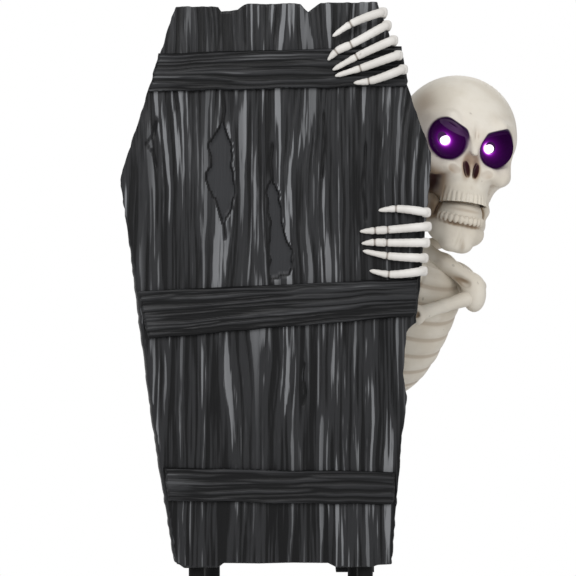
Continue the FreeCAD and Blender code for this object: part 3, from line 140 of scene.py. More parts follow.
# ---------------------------------------------------------------- shapes as arrays

def lattice(rows: int, columns: int, wrap_rows: bool, wrap_columns: bool) -> np.ndarray:
    """Four-cornered faces of a grid of points numbered row by row.

    Args:
        rows: points along the first parameter.
        columns: points along the second parameter.
        wrap_rows: whether the last row joins the first.
        wrap_columns: whether the last column joins the first.

    Returns:
        An array of point numbers, four for each face.
    """
    number = np.arange(rows * columns).reshape(rows, columns)
    if wrap_rows:
        number = np.vstack([number, number[:1]])
    if wrap_columns:
        number = np.hstack([number, number[:, :1]])
    corners_of = [number[:-1, :-1], number[:-1, 1:], number[1:, 1:], number[1:, :-1]]
    return np.stack(corners_of, -1).reshape(-1, 4)


@dataclass
class Shell:
    """Points, faces and one paint value per point, gathered into one mesh.

    A loop is one many-cornered face, such as the flat end of a rod.
    """

    points: list[Points] = field(default_factory=list)
    faces: list[np.ndarray] = field(default_factory=list)
    loops: list[np.ndarray] = field(default_factory=list)
    paint: list[Points] = field(default_factory=list)
    count: int = 0

    def add(self, points: Points, faces: np.ndarray, paint: Points | float = 0.0) -> None:
        """Adds points with their faces.

        Args:
            points: the points, in an array of any shape whose last axis is 3.
            faces: four point numbers for each face, counted from 0.
            paint: one value for every point, or one for all.
        """
        flat = points.reshape(-1, 3)
        values = np.asarray(paint, float).reshape(-1) if np.ndim(paint) else paint
        self.points.append(flat)
        self.faces.append(faces + self.count)
        self.paint.append(np.broadcast_to(values, (len(flat),)))
        self.count += len(flat)

    def add_grid(self, grid: Points, wrap_rows: bool = False, wrap_columns: bool = True,
                 paint: Points | float = 0.0, closed_ends: bool = False) -> None:
        """Adds a grid of points.

        Args:
            grid: the points, by rows and columns.
            wrap_rows: whether the last row joins the first.
            wrap_columns: whether the last column joins the first.
            paint: one value for every point, or one for all.
            closed_ends: whether the first and last rows get a flat end.
        """
        rows, columns = grid.shape[:2]
        start = self.count
        self.add(grid, lattice(rows, columns, wrap_rows, wrap_columns), paint)
        if closed_ends:
            self.loops.append(start + np.arange(columns)[::-1])
            self.loops.append(start + (rows - 1) * columns + np.arange(columns))

    def piece(self, name: str, place: LocalFrame, merge: float = 1e-6) -> bpy.types.Object:
        """Makes the Blender object, in the row frame, with the paint values as an attribute.

        Args:
            name: the piece's name.
            place: the frame that the points are given in, in mm.
            merge: points closer than this are made one, in metres.

        Returns:
            The new object, with its faces outwards and smooth.
        """
        points = place.out(np.concatenate(self.points)) * MM
        faces = [row.tolist() for row in self.faces]
        flat = [face for group in faces for face in group] + [loop.tolist() for loop in self.loops]
        mesh = bpy.data.meshes.new(name)
        mesh.from_pydata(points, [], flat)
        tint = mesh.attributes.new("paint", "FLOAT", "POINT")
        tint.data.foreach_set("value", np.concatenate(self.paint).astype(np.float32))
        work = bmesh.new()
        work.from_mesh(mesh)
        bmesh.ops.remove_doubles(work, verts=work.verts, dist=merge)
        bmesh.ops.recalc_face_normals(work, faces=work.faces)
        work.to_mesh(mesh)
        work.free()
        mesh.shade_smooth()
        obj = bpy.data.objects.new(name, mesh)
        bpy.context.scene.collection.objects.link(obj)
        LOG.info("%s: %d faces", name, len(mesh.polygons))
        return obj


def carried(path: Points, radii: Points, sides: int = 20, flat: float = 1.0) -> Points:
    """A round profile carried along a path: each ring lies across the path's direction.

    Args:
        path: points of the path.
        radii: the profile's radius at each point.
        sides: points round the profile.
        flat: the profile's thickness along Y over its width.

    Returns:
        A grid of points, one row for each ring.
    """
    tangent = np.gradient(path, axis=0)
    tangent /= np.linalg.norm(tangent, axis=1, keepdims=True)
    side = np.cross(tangent, [0.0, 1.0, 0.02])
    side /= np.linalg.norm(side, axis=1, keepdims=True)
    up = np.cross(side, tangent)
    angle = np.linspace(0, 2 * math.pi, sides, endpoint=False)
    ring = np.cos(angle)[None, :, None] * side[:, None] + np.sin(angle)[None, :, None] * flat * up[:, None]
    return path[:, None] + radii[:, None, None] * ring


def curve_through(points: Sequence[Sequence[float]], count: int) -> Points:
    """A smooth path through points: cubic pieces with the slope of each point's two neighbours.

    Args:
        points: the points to pass through.
        count: how many points the path has.

    Returns:
        Points evenly spaced along the straight lines between the given ones.
    """
    corner = np.array(points, float)
    spans = np.linalg.norm(np.diff(corner, axis=0), axis=1)
    knot = np.concatenate([[0], np.cumsum(spans)])
    slope = np.gradient(corner, knot, axis=0)
    at = np.linspace(0, knot[-1], count)
    k = np.clip(np.searchsorted(knot, at, side="right") - 1, 0, len(spans) - 1)
    width = spans[k][:, None]
    t = ((at - knot[k])[:, None]) / width
    return ((2 * t**3 - 3 * t**2 + 1) * corner[k] + (t**3 - 2 * t**2 + t) * width * slope[k]
            + (3 * t**2 - 2 * t**3) * corner[k + 1] + (t**3 - t**2) * width * slope[k + 1])


# ---------------------------------------------------------------- distance fields

def soft_union(a: Points, b: Points, radius: float) -> Points:
    """The smaller of two fields, rounded over a radius where they meet."""
    share = np.clip(0.5 + 0.5 * (b - a) / radius, 0, 1)
    return b + (a - b) * share - radius * share * (1 - share)


def soft_cut(a: Points, b: Points, radius: float) -> Points:
    """Field a with field b taken away, rounded over a radius."""
    return -soft_union(-a, b, radius)


class Field:
    """A box of sample points, in mm, and the distance-like field of a shape on them."""

    FACE_DROP = 0.145
    FACE_ROLL = 0.045

    def __init__(self, low: Sequence[float], high: Sequence[float], step: float) -> None:
        """Sets up the samples of an empty box."""
        self.low = np.array(low, np.float32)
        self.step = step
        counts = np.ceil((np.array(high) - self.low) / step).astype(int) + 1
        axes = [self.low[k] + step * np.arange(counts[k], dtype=np.float32) for k in range(3)]
        self.x, self.y, self.z = np.meshgrid(*axes, indexing="ij", sparse=True)
        self.value = np.full(counts, 1e3, np.float32)

    def ellipsoid(self, centre: Sequence[float], radii: Sequence[float], roll: float = 0.0) -> Points:
        """Field of an ellipsoid: (q - 1) q / g, with q the scaled distance and g its slope.

        Args:
            centre: its centre.
            radii: its half sizes.
            roll: its turn about Y, in degrees, from X towards Z.

        Returns:
            The field at every sample.
        """
        x, y, z = self.x - centre[0], self.y - centre[1], self.z - centre[2]
        if roll:
            c, s = math.cos(math.radians(roll)), math.sin(math.radians(roll))
            x, z = x * c + z * s, z * c - x * s
        q = np.sqrt((x / radii[0])**2 + (y / radii[1])**2 + (z / radii[2])**2)
        g = np.sqrt((x / radii[0]**2)**2 + (y / radii[1]**2)**2 + (z / radii[2]**2)**2) + 1e-6
        return q * (q - 1) / g

    def limb(self, start: Sequence[float], end: Sequence[float], first: float, last: float) -> Points:
        """Field of a round-ended cone: distance to the axis less a radius that changes along it.

        Args:
            start: the axis's first point.
            end: the axis's last point.
            first: the radius at the start.
            last: the radius at the end.

        Returns:
            The field at every sample.
        """
        a, run = np.array(start, float), np.array(end, float) - np.array(start, float)
        x, y, z = self.x - a[0], self.y - a[1], self.z - a[2]
        t = np.clip((x * run[0] + y * run[1] + z * run[2]) / (run @ run), 0, 1)
        gap = np.sqrt((x - t * run[0])**2 + (y - t * run[1])**2 + (z - t * run[2])**2)
        return gap - (first + (last - first) * t)

    def join(self, other: Points, radius: float) -> None:
        """Adds a shape, blended over a radius."""
        self.value = soft_union(self.value, other, radius)

    def carve(self, other: Points, radius: float) -> None:
        """Takes a shape away, blended over a radius."""
        self.value = soft_cut(self.value, other, radius)

    def sample(self, points: Points) -> Points:
        """The field at any points: the mean of the eight samples round each, weighted by nearness.

        Args:
            points: the points; one outside the box is read at the box's border.

        Returns:
            One value for each point.
        """
        limit = np.array(self.value.shape) - 1.001
        at = np.clip((points - self.low) / self.step, 0, limit)
        base = at.astype(int)
        part = at - base
        total = np.zeros(len(points))
        for corner in np.ndindex(2, 2, 2):
            weight = np.prod(np.where(corner, part, 1 - part), axis=1)
            total += weight * self.value[tuple((base + corner).T)]
        return total

    def lower_face(self) -> None:
        """Shears the samples, so that what is added later lies lower in front and on the right.

        A later shape moves down by FACE_DROP of its distance in front and by FACE_ROLL of its
        distance to the right of the middle.
        """
        self.z = self.z - self.FACE_DROP * np.minimum(self.y, 0) + self.FACE_ROLL * self.x

    @classmethod
    def face(cls, points: Points) -> Points:
        """Where points given for the face lie after the shear."""
        x, y, z = (points[..., k] for k in range(3))
        return np.stack([x, y, z + cls.FACE_DROP * np.minimum(y, 0) - cls.FACE_ROLL * x], -1)

    @classmethod
    def unface(cls, points: Points) -> Points:
        """The face coordinates of points of the head."""
        x, y, z = (points[..., k] for k in range(3))
        return np.stack([x, y, z - cls.FACE_DROP * np.minimum(y, 0) + cls.FACE_ROLL * x], -1)

    def skin(self, value: Points) -> tuple[Points, np.ndarray]:
        """The surface where a field changes sign.

        Every cell that the surface passes through gets one point, at the mean of where the surface
        crosses the cell's edges. Every sample pair with the surface between them gets one face.

        Args:
            value: the field at every sample, negative inside.

        Returns:
            The points and the four-cornered faces.
        """
        shape = np.array(value.shape) - 1
        inside = value < 0
        filled = np.sum([inside[i:i + shape[0], j:j + shape[1], k:k + shape[2]]
                         for i, j, k in np.ndindex(2, 2, 2)], axis=0)
        active = (filled > 0) & (filled < 8)
        cell = np.argwhere(active)
        number = np.full(active.shape, -1)
        number[active] = np.arange(len(cell))
        total = np.zeros((len(cell), 3))
        crossings = np.zeros(len(cell))
        for axis in range(3):
            step = np.eye(3, dtype=int)[axis]
            others = [k for k in range(3) if k != axis]
            for pair in np.ndindex(2, 2):
                offset = np.zeros(3, int)
                offset[others] = pair
                near = value[tuple((cell + offset).T)]
                far = value[tuple((cell + offset + step).T)]
                cross = (near < 0) != (far < 0)
                t = np.where(cross, near / np.where(cross, near - far, 1), 0)
                total += np.where(cross[:, None], cell + offset + t[:, None] * step, 0)
                crossings += cross
        points = self.low + self.step * total / crossings[:, None]
        faces = []
        for axis in range(3):
            step = np.eye(3, dtype=int)[axis]
            size = np.array(value.shape) - step
            near = inside[:size[0], :size[1], :size[2]]
            far = inside[step[0]:, step[1]:, step[2]:]
            edge = np.argwhere(near != far)
            edge = edge[np.all((edge > 0) | (np.arange(3) == axis), axis=1)]
            edge = edge[np.all((edge < shape) | (np.arange(3) == axis), axis=1)]
            b, c = np.eye(3, dtype=int)[(axis + 1) % 3], np.eye(3, dtype=int)[(axis + 2) % 3]
            quad = np.stack([number[tuple((edge - move).T)] for move in (b + c, c, 0 * b, b)], -1)
            out = near[tuple(edge.T)]
            faces.append(np.where(out[:, None], quad, quad[:, ::-1]))
        return points, np.concatenate(faces)

    def hollows(self, points: Points, reach: float) -> Points:
        """How hollow the shape is at each point: 0 where it is open, towards 1 in a crease.

        The field is read a short way out along its slope. In the open it equals that distance.

        Args:
            points: points of the surface.
            reach: how far out the field is read.

        Returns:
            One value for each point.
        """
        h = self.step
        slope = np.stack([self.sample(points + h * e) - self.sample(points - h * e)
                          for e in np.eye(3)], -1)
        slope /= np.linalg.norm(slope, axis=1, keepdims=True) + 1e-9
        return np.clip(1 - self.sample(points + slope * reach) / reach, 0, 1)


# ---------------------------------------------------------------- finishes

class Recipe:
    """Builds one material's nodes round its main shader."""

    def __init__(self, name: str, colour: Sequence[float], roughness: float) -> None:
        """Starts a material with an even colour and roughness on the shader's own sockets."""
        self.material = bpy.data.materials.new(name)
        self.material.use_nodes = True
        self.tree = self.material.node_tree
        self.shader = self.tree.nodes["Principled BSDF"]
        self.put("Base Color", (*colour, 1.0))
        self.put("Roughness", roughness)

    def put(self, socket: str, value: object) -> None:
        """Sets or links one socket of the main shader."""
        if isinstance(value, bpy.types.NodeSocket):
            self.tree.links.new(value, self.shader.inputs[socket])
        else:
            self.shader.inputs[socket].default_value = value

    def node(self, kind: str, inputs: dict[str | int, object], **settings: object) -> bpy.types.Node:
        """Adds a node, sets its options, and sets or links its inputs.

        Args:
            kind: the node's type.
            inputs: a number, colour or socket for each input.
            settings: the node's own options.

        Returns:
            The new node.
        """
        node = self.tree.nodes.new(kind)
        for option, value in settings.items():
            setattr(node, option, value)
        for key, value in inputs.items():
            if isinstance(value, bpy.types.NodeSocket):
                self.tree.links.new(value, node.inputs[key])
            else:
                node.inputs[key].default_value = value
        return node

    def noise(self, scale: float, stretch: Sequence[float] = (1, 1, 1),
              detail: float = 4.0) -> bpy.types.NodeSocket:
        """Noise on Object coordinates.

        Args:
            scale: features per metre.
            stretch: the share of that scale along each axis; below 1 draws the features out.
            detail: how many finer layers are added.

        Returns:
            The noise's socket, 0 to 1.
        """
        place = self.node("ShaderNodeTexCoord", {}).outputs["Object"]
        spot = self.node("ShaderNodeMapping", {"Vector": place, "Scale": tuple(stretch)}).outputs[0]
        inputs = {"Vector": spot, "Scale": scale, "Detail": detail}
        return self.node("ShaderNodeTexNoise", inputs).outputs[0]

    def attribute(self, name: str) -> bpy.types.NodeSocket:
        """The piece's own paint value of that name."""
        return self.node("ShaderNodeAttribute", {}, attribute_name=name).outputs["Fac"]

    def step(self, value: bpy.types.NodeSocket, low: float, high: float) -> bpy.types.NodeSocket:
        """0 below low, 1 above high, and a smooth rise between them."""
        return self.node("ShaderNodeMapRange", {"Value": value, "From Min": low, "From Max": high},
                         interpolation_type="SMOOTHSTEP").outputs[0]

    def gloss(self, value: bpy.types.NodeSocket, low: float, high: float) -> None:
        """Lets the roughness run from low to high with a value of 0 to 1."""
        inputs = {"Value": value, "To Min": low, "To Max": high}
        self.put("Roughness", self.node("ShaderNodeMapRange", inputs).outputs[0])

    def maths(self, how: str, a: object, b: object) -> bpy.types.NodeSocket:
        """One sum of two numbers or sockets."""
        return self.node("ShaderNodeMath", {0: a, 1: b}, operation=how).outputs[0]

    def mix(self, share: object, a: object, b: object) -> bpy.types.NodeSocket:
        """Colour a where share is 0 and colour b where it is 1."""
        colours = [(*c, 1.0) if isinstance(c, tuple) and len(c) == 3 else c for c in (a, b)]
        node = self.node("ShaderNodeMix", {0: share, 6: colours[0], 7: colours[1]}, data_type="RGBA")
        return node.outputs[2]

    def bump(self, height: bpy.types.NodeSocket, depth: float) -> None:
        """Raises the surface by a height of 0 to 1 times a depth in metres."""
        node = self.node("ShaderNodeBump", {"Height": height, "Distance": depth})
        self.put("Normal", node.outputs[0])


@dataclass(frozen=True)
class DryBrushed:
    """Near-black moulded plastic whose raised grain is brushed with grey.

    The paint value is the grain's relief: brushed grey above a threshold, charcoal below it, painted
    shade near black in the lowest grooves, and a flat dark grey where the value is under -1.5, in the
    broken patches.
    """

    name: str
    across: tuple[float, float, float]
    low: float = 0.27
    high: float = 0.52
    strength: float = 1.0
    dark: tuple[float, float, float] = (0.0035, 0.0036, 0.0042)
    even: tuple[float, float, float] = (0.023, 0.0235, 0.0255)
    ridge: tuple[float, float, float] = (0.20, 0.205, 0.215)
    patch: tuple[float, float, float] = (0.030, 0.031, 0.034)

    def make(self) -> bpy.types.Material:
        """The material."""
        r = Recipe(self.name, self.dark, 0.42)
        relief = r.attribute("paint")
        fine = r.noise(420.0, self.across, 3.0)
        broad = r.noise(34.0, self.across, 2.0)
        relief_for_brush_and_shade = r.maths("ADD", relief, r.maths("MULTIPLY", r.maths("SUBTRACT", fine, 0.5), 0.95))
        brushed = r.step(relief_for_brush_and_shade, self.low, self.high)
        uneven = r.maths("MULTIPLY", r.step(broad, 0.26, 0.62), self.strength)
        brushed = r.maths("MULTIPLY", brushed, uneven)
        # Painted shade: the lowest relief, in grooves, cracks, patch rims, side walls and slat edges, turns
        # near black.
        ground = r.mix(r.step(relief_for_brush_and_shade, self.low - 0.75, self.low - 0.2), self.dark, self.even)
        colour = r.mix(brushed, ground, self.ridge)
        colour = r.mix(r.step(relief, -1.35, -1.6), colour, self.patch)
        r.put("Base Color", colour)
        r.gloss(fine, 0.33, 0.52)
        r.put("Specular IOR Level", 0.22)
        r.bump(fine, 0.0005)
        return r.material


@dataclass(frozen=True)
class BonePaint:
    """Painted bone: an even ivory or white, washed brown and painted with shade in the hollows, and faint
    grey pits.

    The paint value is the brown washing and painted shade, 0 to 1. The glow value tints an eye socket
    dark purple: the socket's dark paint with painted purple light. The lamp value makes the bone round
    each lamp glow by emission, which is painted light.
    """

    name: str
    base: tuple[float, float, float] = (0.70, 0.645, 0.55)
    light: tuple[float, float, float] = (0.79, 0.745, 0.66)
    wash_and_shade: tuple[float, float, float] = (0.30, 0.20, 0.115)
    deep: tuple[float, float, float] = (0.045, 0.016, 0.009)
    glow: bool = False

    def make(self) -> bpy.types.Material:
        """The material."""
        r = Recipe(self.name, self.base, 0.46)
        wash_and_shade = r.attribute("paint")
        cloud = r.noise(22.0)
        fine = r.noise(260.0, (1, 1, 1), 5.0)
        ground = r.mix(r.step(cloud, 0.35, 0.65), self.base, self.light)
        shade_and_stain_level = r.maths("ADD", wash_and_shade, r.maths("MULTIPLY", r.maths("SUBTRACT", cloud, 0.5), 0.22))
        colour = r.mix(r.maths("MULTIPLY", r.step(shade_and_stain_level, 0.06, 0.75), 0.85), ground, self.wash_and_shade)
        # The highest values turn the darkest brown: painted shade in the deepest hollows, and the strongest
        # stain.
        colour = r.mix(r.step(wash_and_shade, 0.6, 1.5), colour, self.deep)
        pits = r.noise(120.0, (1, 1, 1), 1.0)
        colour = r.mix(r.maths("MULTIPLY", r.step(pits, 0.73, 0.78), 0.35), colour, (0.25, 0.22, 0.19))
        if self.glow:
            # Painted light: dark purple in the sockets for the lamps' purple light, and emission round each
            # lamp.
            tint = r.attribute("glow")
            colour = r.mix(r.step(tint, 0.05, 0.75), colour, (0.014, 0.0, 0.030))
            r.put("Emission Color", (0.42, 0.02, 0.62, 1.0))
            r.put("Emission Strength", r.attribute("lamp"))
        r.put("Base Color", colour)
        r.gloss(fine, 0.38, 0.56)
        r.put("Specular IOR Level", 0.3)
        r.bump(r.maths("ADD", r.maths("MULTIPLY", fine, 0.35), r.step(pits, 0.78, 0.70)), 0.00035)
        return r.material


@dataclass(frozen=True)
class Moulded:
    """Plain moulded or coated surface: a fine grain in its gloss, its colour and its relief."""

    name: str
    colour: tuple[float, float, float]
    roughness: float = 0.4
    metal: float = 0.0
    coat: float = 0.0
    grain: float = 600.0
    stretch: tuple[float, float, float] = (1, 1, 1)
    depth: float = 0.0002
    light: float = 0.0
    shine: float = 0.5

    def make(self) -> bpy.types.Material:
        """The material."""
        r = Recipe(self.name, self.colour, self.roughness)
        fine = r.noise(self.grain, self.stretch, 3.0)
        cloud = r.noise(16.0)
        paler = tuple(min(1.0, c * 1.35 + 0.004) for c in self.colour)
        r.put("Base Color", r.mix(r.step(cloud, 0.3, 0.7), self.colour, paler))
        r.gloss(fine, self.roughness * 0.82, min(1.0, self.roughness * 1.2))
        r.put("Metallic", self.metal)
        r.put("Specular IOR Level", self.shine)
        r.put("Coat Weight", self.coat)
        r.put("Coat Roughness", 0.12)
        if self.light:
            r.put("Emission Color", (*self.colour, 1.0))
            r.put("Emission Strength", self.light)
        r.bump(fine, self.depth)
        return r.material


@dataclass(frozen=True)
class SocketGlow:
    """Deep purple lining with painted light round its lamp: the lamp value makes it glow by emission."""

    name: str

    def make(self) -> bpy.types.Material:
        """The material."""
        r = Recipe(self.name, (0.006, 0.0, 0.012), 0.85)
        r.put("Specular IOR Level", 0.06)
        fine = r.noise(300.0)
        lining = r.mix(r.step(fine, 0.3, 0.7), (0.005, 0.0, 0.010), (0.010, 0.0, 0.020))
        r.put("Base Color", lining)
        # Painted light: emission from purple to pale pink, brightest in the halo round the lens.
        lamp = r.attribute("lamp")
        r.put("Emission Color", r.mix(r.step(lamp, 0.7, 2.6), (0.33, 0.01, 0.52), (1.0, 0.45, 1.0)))
        r.put("Emission Strength", lamp)
        r.bump(fine, 0.0002)
        return r.material


class Finish(Enum):
    """The record's material slots, each with the recipe of its finish."""

    COFFIN = DryBrushed("coffin_plastic", (1, 1, 0.05))
    BATTEN = DryBrushed("batten_plastic", (0.05, 1, 1), 0.42, 0.75, 0.36)
    HAND = BonePaint("hand_paint", (0.70, 0.675, 0.64), (0.80, 0.78, 0.75), (0.20, 0.16, 0.13))
    BONE = BonePaint("bone_plastic", (0.68, 0.62, 0.525), (0.76, 0.71, 0.62))
    SKULL = BonePaint("skull_bone_plastic", glow=True)
    TUBE = Moulded("tube_steel", (0.005, 0.005, 0.0055), 0.5, shine=0.1)
    FITTING = Moulded("fitting_plastic", (0.012, 0.012, 0.013), 0.55, depth=0.0004, shine=0.2)
    RUBBER = Moulded("foot_rubber", (0.014, 0.014, 0.014), 0.85, grain=900.0, depth=0.0005)
    SCREW = Moulded("screw_steel", (0.55, 0.55, 0.57), 0.3, 1.0)
    MOTOR = Moulded("motor_steel", (0.46, 0.47, 0.48), 0.34, 1.0, stretch=(1, 0.04, 1))
    NYLON = Moulded("gear_nylon", (0.74, 0.72, 0.64), 0.45)
    BUSH = Moulded("bush_brass", (0.62, 0.46, 0.2), 0.3, 1.0)
    CUP = SocketGlow("socket_purple")
    LAMP = Moulded("eye_light", (1.0, 0.86, 1.0), 0.2, light=1.6)
    BUTTON = Moulded("button_red", (0.52, 0.018, 0.015), 0.25, coat=0.4)
    SWITCH = Moulded("switch_white", (0.72, 0.72, 0.72), 0.35)
    CELL = Moulded("cell_sleeve", (0.05, 0.05, 0.06), 0.3, coat=0.5)
    BOARD = Moulded("board_green", (0.018, 0.17, 0.065), 0.3, coat=0.5)


@dataclass
class Workshop:
    """What every sub-assembly needs: the frames, and the finishes made so far."""

    places: Places
    made: dict[Finish, bpy.types.Material] = field(default_factory=dict)

    def paint(self, finish: Finish) -> bpy.types.Material:
        """The finish's material, made on first use."""
        if finish not in self.made:
            self.made[finish] = finish.value.make()
        return self.made[finish]

    def fit(self, piece: bpy.types.Object, finish: Finish, slot: str, body: str, *nodes: str) -> None:
        """Dresses a piece, hangs it on its body and hides the nodes that it stands for."""
        piece.data.materials.append(self.paint(finish))
        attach(piece, body)
        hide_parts(*nodes)


# ---------------------------------------------------------------- coffin

def value_noise(x: Points, z: Points, seed: int) -> Points:
    """Smooth noise over a plane: random values on whole-number points, eased between them.

    Args:
        x: first coordinate of the points.
        z: second coordinate of the points.
        seed: which random table is used.

    Returns:
        One value for each point, -1 to 1.
    """
    table = np.random.default_rng(seed).uniform(-1, 1, (256, 256))
    i, k = np.floor(x).astype(int), np.floor(z).astype(int)
    u, w = x - i, z - k
    u, w = u * u * u * (u * (6 * u - 15) + 10), w * w * (3 - 2 * w)
    a, b = table[i % 256, k % 256], table[(i + 1) % 256, k % 256]
    c, d = table[i % 256, (k + 1) % 256], table[(i + 1) % 256, (k + 1) % 256]
    return (a * (1 - u) + b * u) * (1 - w) + (c * (1 - u) + d * u) * w


def wood_relief(across: Points, along: Points, seed: int) -> Points:
    """Carved grain: two widths of long ridges whose lines wander.

    Args:
        across: distance across the grain, in mm.
        along: distance along the grain, in mm.
        seed: the first of the four random tables used.

    Returns:
        The height at each point, about -1 to 1.
    """
    wide = value_noise(across / 45, along / 150, seed)
    line = across + (6 * wide + 1.6 * value_noise(across / 16, along / 60, seed + 1))
    broad = value_noise(line / 4.4, along / 120, seed + 2)
    narrow = value_noise(line / 2.3, along / 75, seed + 3)
    return 0.62 * broad + 0.55 * narrow


def ease(value: Points, low: float, high: float) -> Points:
    """0 below low, 1 above high, and a smooth rise between them."""
    t = np.clip((value - low) / (high - low), 0, 1)
    return t * t * (3 - 2 * t)


def edge_of(rows: Sequence[tuple[float, float]]) -> Callable[[Points], Points]:
    """A broken line as a function: pairs of where, and how far."""
    table = np.array(rows, float)
    return lambda at: np.interp(at, table[:, 0], table[:, 1])


def ring_of(rows: int, columns: int) -> np.ndarray:
    """The numbers of a grid's border points, in order round it."""
    number = np.arange(rows * columns).reshape(rows, columns)
    return np.concatenate([number[0], number[1:, -1], number[-1, -2::-1], number[-2:0:-1, 0]])


def line_distance(x: Points, z: Points, line: Sequence[Sequence[float]]) -> Points:
    """Distance from points of a plane to a broken line.

    Args:
        x: first coordinate of the points.
        z: second coordinate of the points.
        line: the line's corners.

    Returns:
        One distance for each point.
    """
    best = np.full(x.shape, 1e3)
    for start, end in zip(line, line[1:]):
        run = np.subtract(end, start)
        t = np.clip(((x - start[0]) * run[0] + (z - start[1]) * run[1]) / (run @ run), 0, 1)
        best = np.minimum(best, np.hypot(x - start[0] - t * run[0], z - start[1] - t * run[1]))
    return best


@dataclass
class CoffinBoard:
    """The coffin-shaped tray of moulded planks.

    X is measured from its centre line, Z from its bottom and Y from its face. The edges are tables of
    where and how far.
    """

    height: float = 698.0
    depth: float = 45.0
    rim: float = 8.0
    skin: float = 5.0
    relief: float = 1.7
    patch_depth: float = 2.6
    top_inset: float = 20.0
    worn_inset: float = 11.0
    fine: float = 1.25
    left: tuple = ((0, -129), (155, -152.5), (304, -172), (378, -181), (480, -194), (692, -125),
                   (700, -124))
    right: tuple = ((0, 146), (155, 158.5), (208, 165.3), (216, 163), (234, 160), (252, 162.5),
                    (273, 163.2), (290, 165), (296, 170), (300, 176), (351, 182), (494, 195),
                    (510, 195), (698, 128))
    top: tuple = ((-125, 692), (-80, 692.4), (-71, 691.6), (-67.5, 686), (-57, 686.4), (-46, 688.4),
                  (-38, 694.6), (-34, 696), (-8, 695.2), (10, 696.6), (31, 696), (36, 690), (41, 685.4),
                  (47, 690), (57, 697), (90, 697.2), (128, 698))
    bottom: tuple = ((-129, 4.5), (-117, 0.5), (-112, -3.6), (-71, -3.8), (-64, 1.4), (-20, 0.8), (20, 1.8),
                     (66, 1.4), (76, -3.8), (120, -3.6), (127, -1), (146, 0))
    patches: tuple = (
        ((427, -65, -63), (435, -67, -57), (447, -71, -53), (463, -78, -51), (479, -86, -52),
         (495, -79, -55), (505, -79, -52.5), (519, -83, -54), (530, -76, -58), (540, -69, -63),
         (545, -66, -65)),
        ((356, -6, 0), (360, -6.5, 17), (372, -6, 21), (390, -6, 20), (400, -6.5, 14.5), (425, -6, 8.5),
         (445, -8, 6), (462, -9, 2), (470, -7, -2), (475, -5.5, -4.5)),
    )
    cracks: tuple = (
        ((-146, 552), (-150, 535), (-160, 521), (-152, 512), (-148, 492)),
        ((-66, 545), (-63, 562), (-66, 588)), ((-64, 428), (-62, 405)),
        ((-4, 474), (-6, 500), (-3, 520)), ((36, 250), (34, 232), (38, 214), (35, 200)),
        ((60, 560), (62, 520), (58, 480)), ((112, 520), (108, 470), (112, 430)),
    )

    def surface(self, x: Points, z: Points) -> tuple[Points, Points]:
        """Depth of the face behind its plane, and the grain's paint value, at points of the face.

        The grain stands out of the face. A broken patch is a flat floor behind it, with a raised lip on
        its right and a ring of painted shade round its edge. A crack is a narrow groove whose depth falls
        off with the square of the distance, painted darker as painted shade.

        Args:
            x: distance from the centre line.
            z: height above the bottom.

        Returns:
            The depth and the paint value at each point.
        """
        grain = wood_relief(x, z, 41)
        paint = grain - 0.16 * ease(-z, -140, -20)
        depth = -self.relief * ease(grain, -0.4, 0.45) + 0.25 * self.relief
        for rows in self.patches:
            table = np.array(rows, float)
            lean = 1.6 * value_noise(z / 9, z * 0, 5)
            low = np.interp(z, table[:, 0], table[:, 1]) + lean
            high = np.interp(z, table[:, 0], table[:, 2]) - lean
            inside = np.minimum(np.minimum(x - low, high - x),
                                np.minimum(z - table[0, 0], table[-1, 0] - z))
            within = ease(inside, -0.6, 1.2)
            lip = np.exp(-((x - high - 1.6) / 1.5)**2) * ease(inside, -14, -1)
            lip = lip * (z > table[0, 0]) * (z < table[-1, 0])
            depth = depth * (1 - within) + self.patch_depth * within - 0.7 * lip
            # Painted shade: a ring just round the patch is held at a low paint value; the raised lip is
            # brushed grey.
            border = np.where(inside > -2.2, np.minimum(paint, -0.8), paint) + 0.8 * lip
            paint = np.where(inside > 0.3, -2.0, border)
        for line in self.cracks:
            groove = np.exp(-(line_distance(x, z, line) / 1.7)**2)
            depth = depth + 1.5 * groove
            # Painted shade: the crack is painted darker along its groove.
            paint = paint - 1.1 * groove * (paint > -1.3)
        return depth, paint

    def build(self, shop: Workshop) -> None:
        """Makes the tray: its face, drafted side wall, rear rim and hollow inside.

        The face is a grid over the whole outline, with every point past an edge moved onto that edge.

        Args:
            shop: the frames and finishes.
        """
        tables = (self.left, self.right, self.top, self.bottom)
        left, right, top, bottom = (edge_of(table) for table in tables)
        columns = np.arange(-196, 197, self.fine)
        rows = np.linspace(-4.5, 698.5, 176)
        z, x = np.meshgrid(rows, columns, indexing="ij")
        draft = 2.5 + 5.5 * ease(-z, -470, -330)
        rough = 0.8 * value_noise(z / 7, z * 0, 9)
        x = np.clip(x, left(z) + draft + rough, right(z) - 2.5 - rough)
        z = np.clip(z, bottom(x) + 1.5, top(x) - 1.2 + 0.5 * value_noise(x / 6, x * 0, 11))
        depth, paint = self.surface(x, z)
        shell = Shell()
        face = np.stack([x, depth, z], -1)
        shell.add_grid(face, wrap_columns=False, paint=paint)
        border = ring_of(*x.shape)
        rim = face.reshape(-1, 3)[border]
        edge = np.stack([rim[:, 0], rim[:, 2]], -1)
        middle = np.array([0.0, 350.0])
        tangent = np.roll(edge, -4, 0) - np.roll(edge, 4, 0)
        normal = np.stack([tangent[:, 1], -tangent[:, 0]], -1)
        normal /= np.linalg.norm(normal, axis=1, keepdims=True) + 1e-6
        normal *= np.sign(np.sum(normal * (edge - middle), axis=1, keepdims=True))
        reach = np.interp(edge[:, 0], [-150, -60, 60, 150], [1, 0, 0, 0]) * ease(-edge[:, 1], -470, -330)
        reach = 2.3 + 5.5 * reach

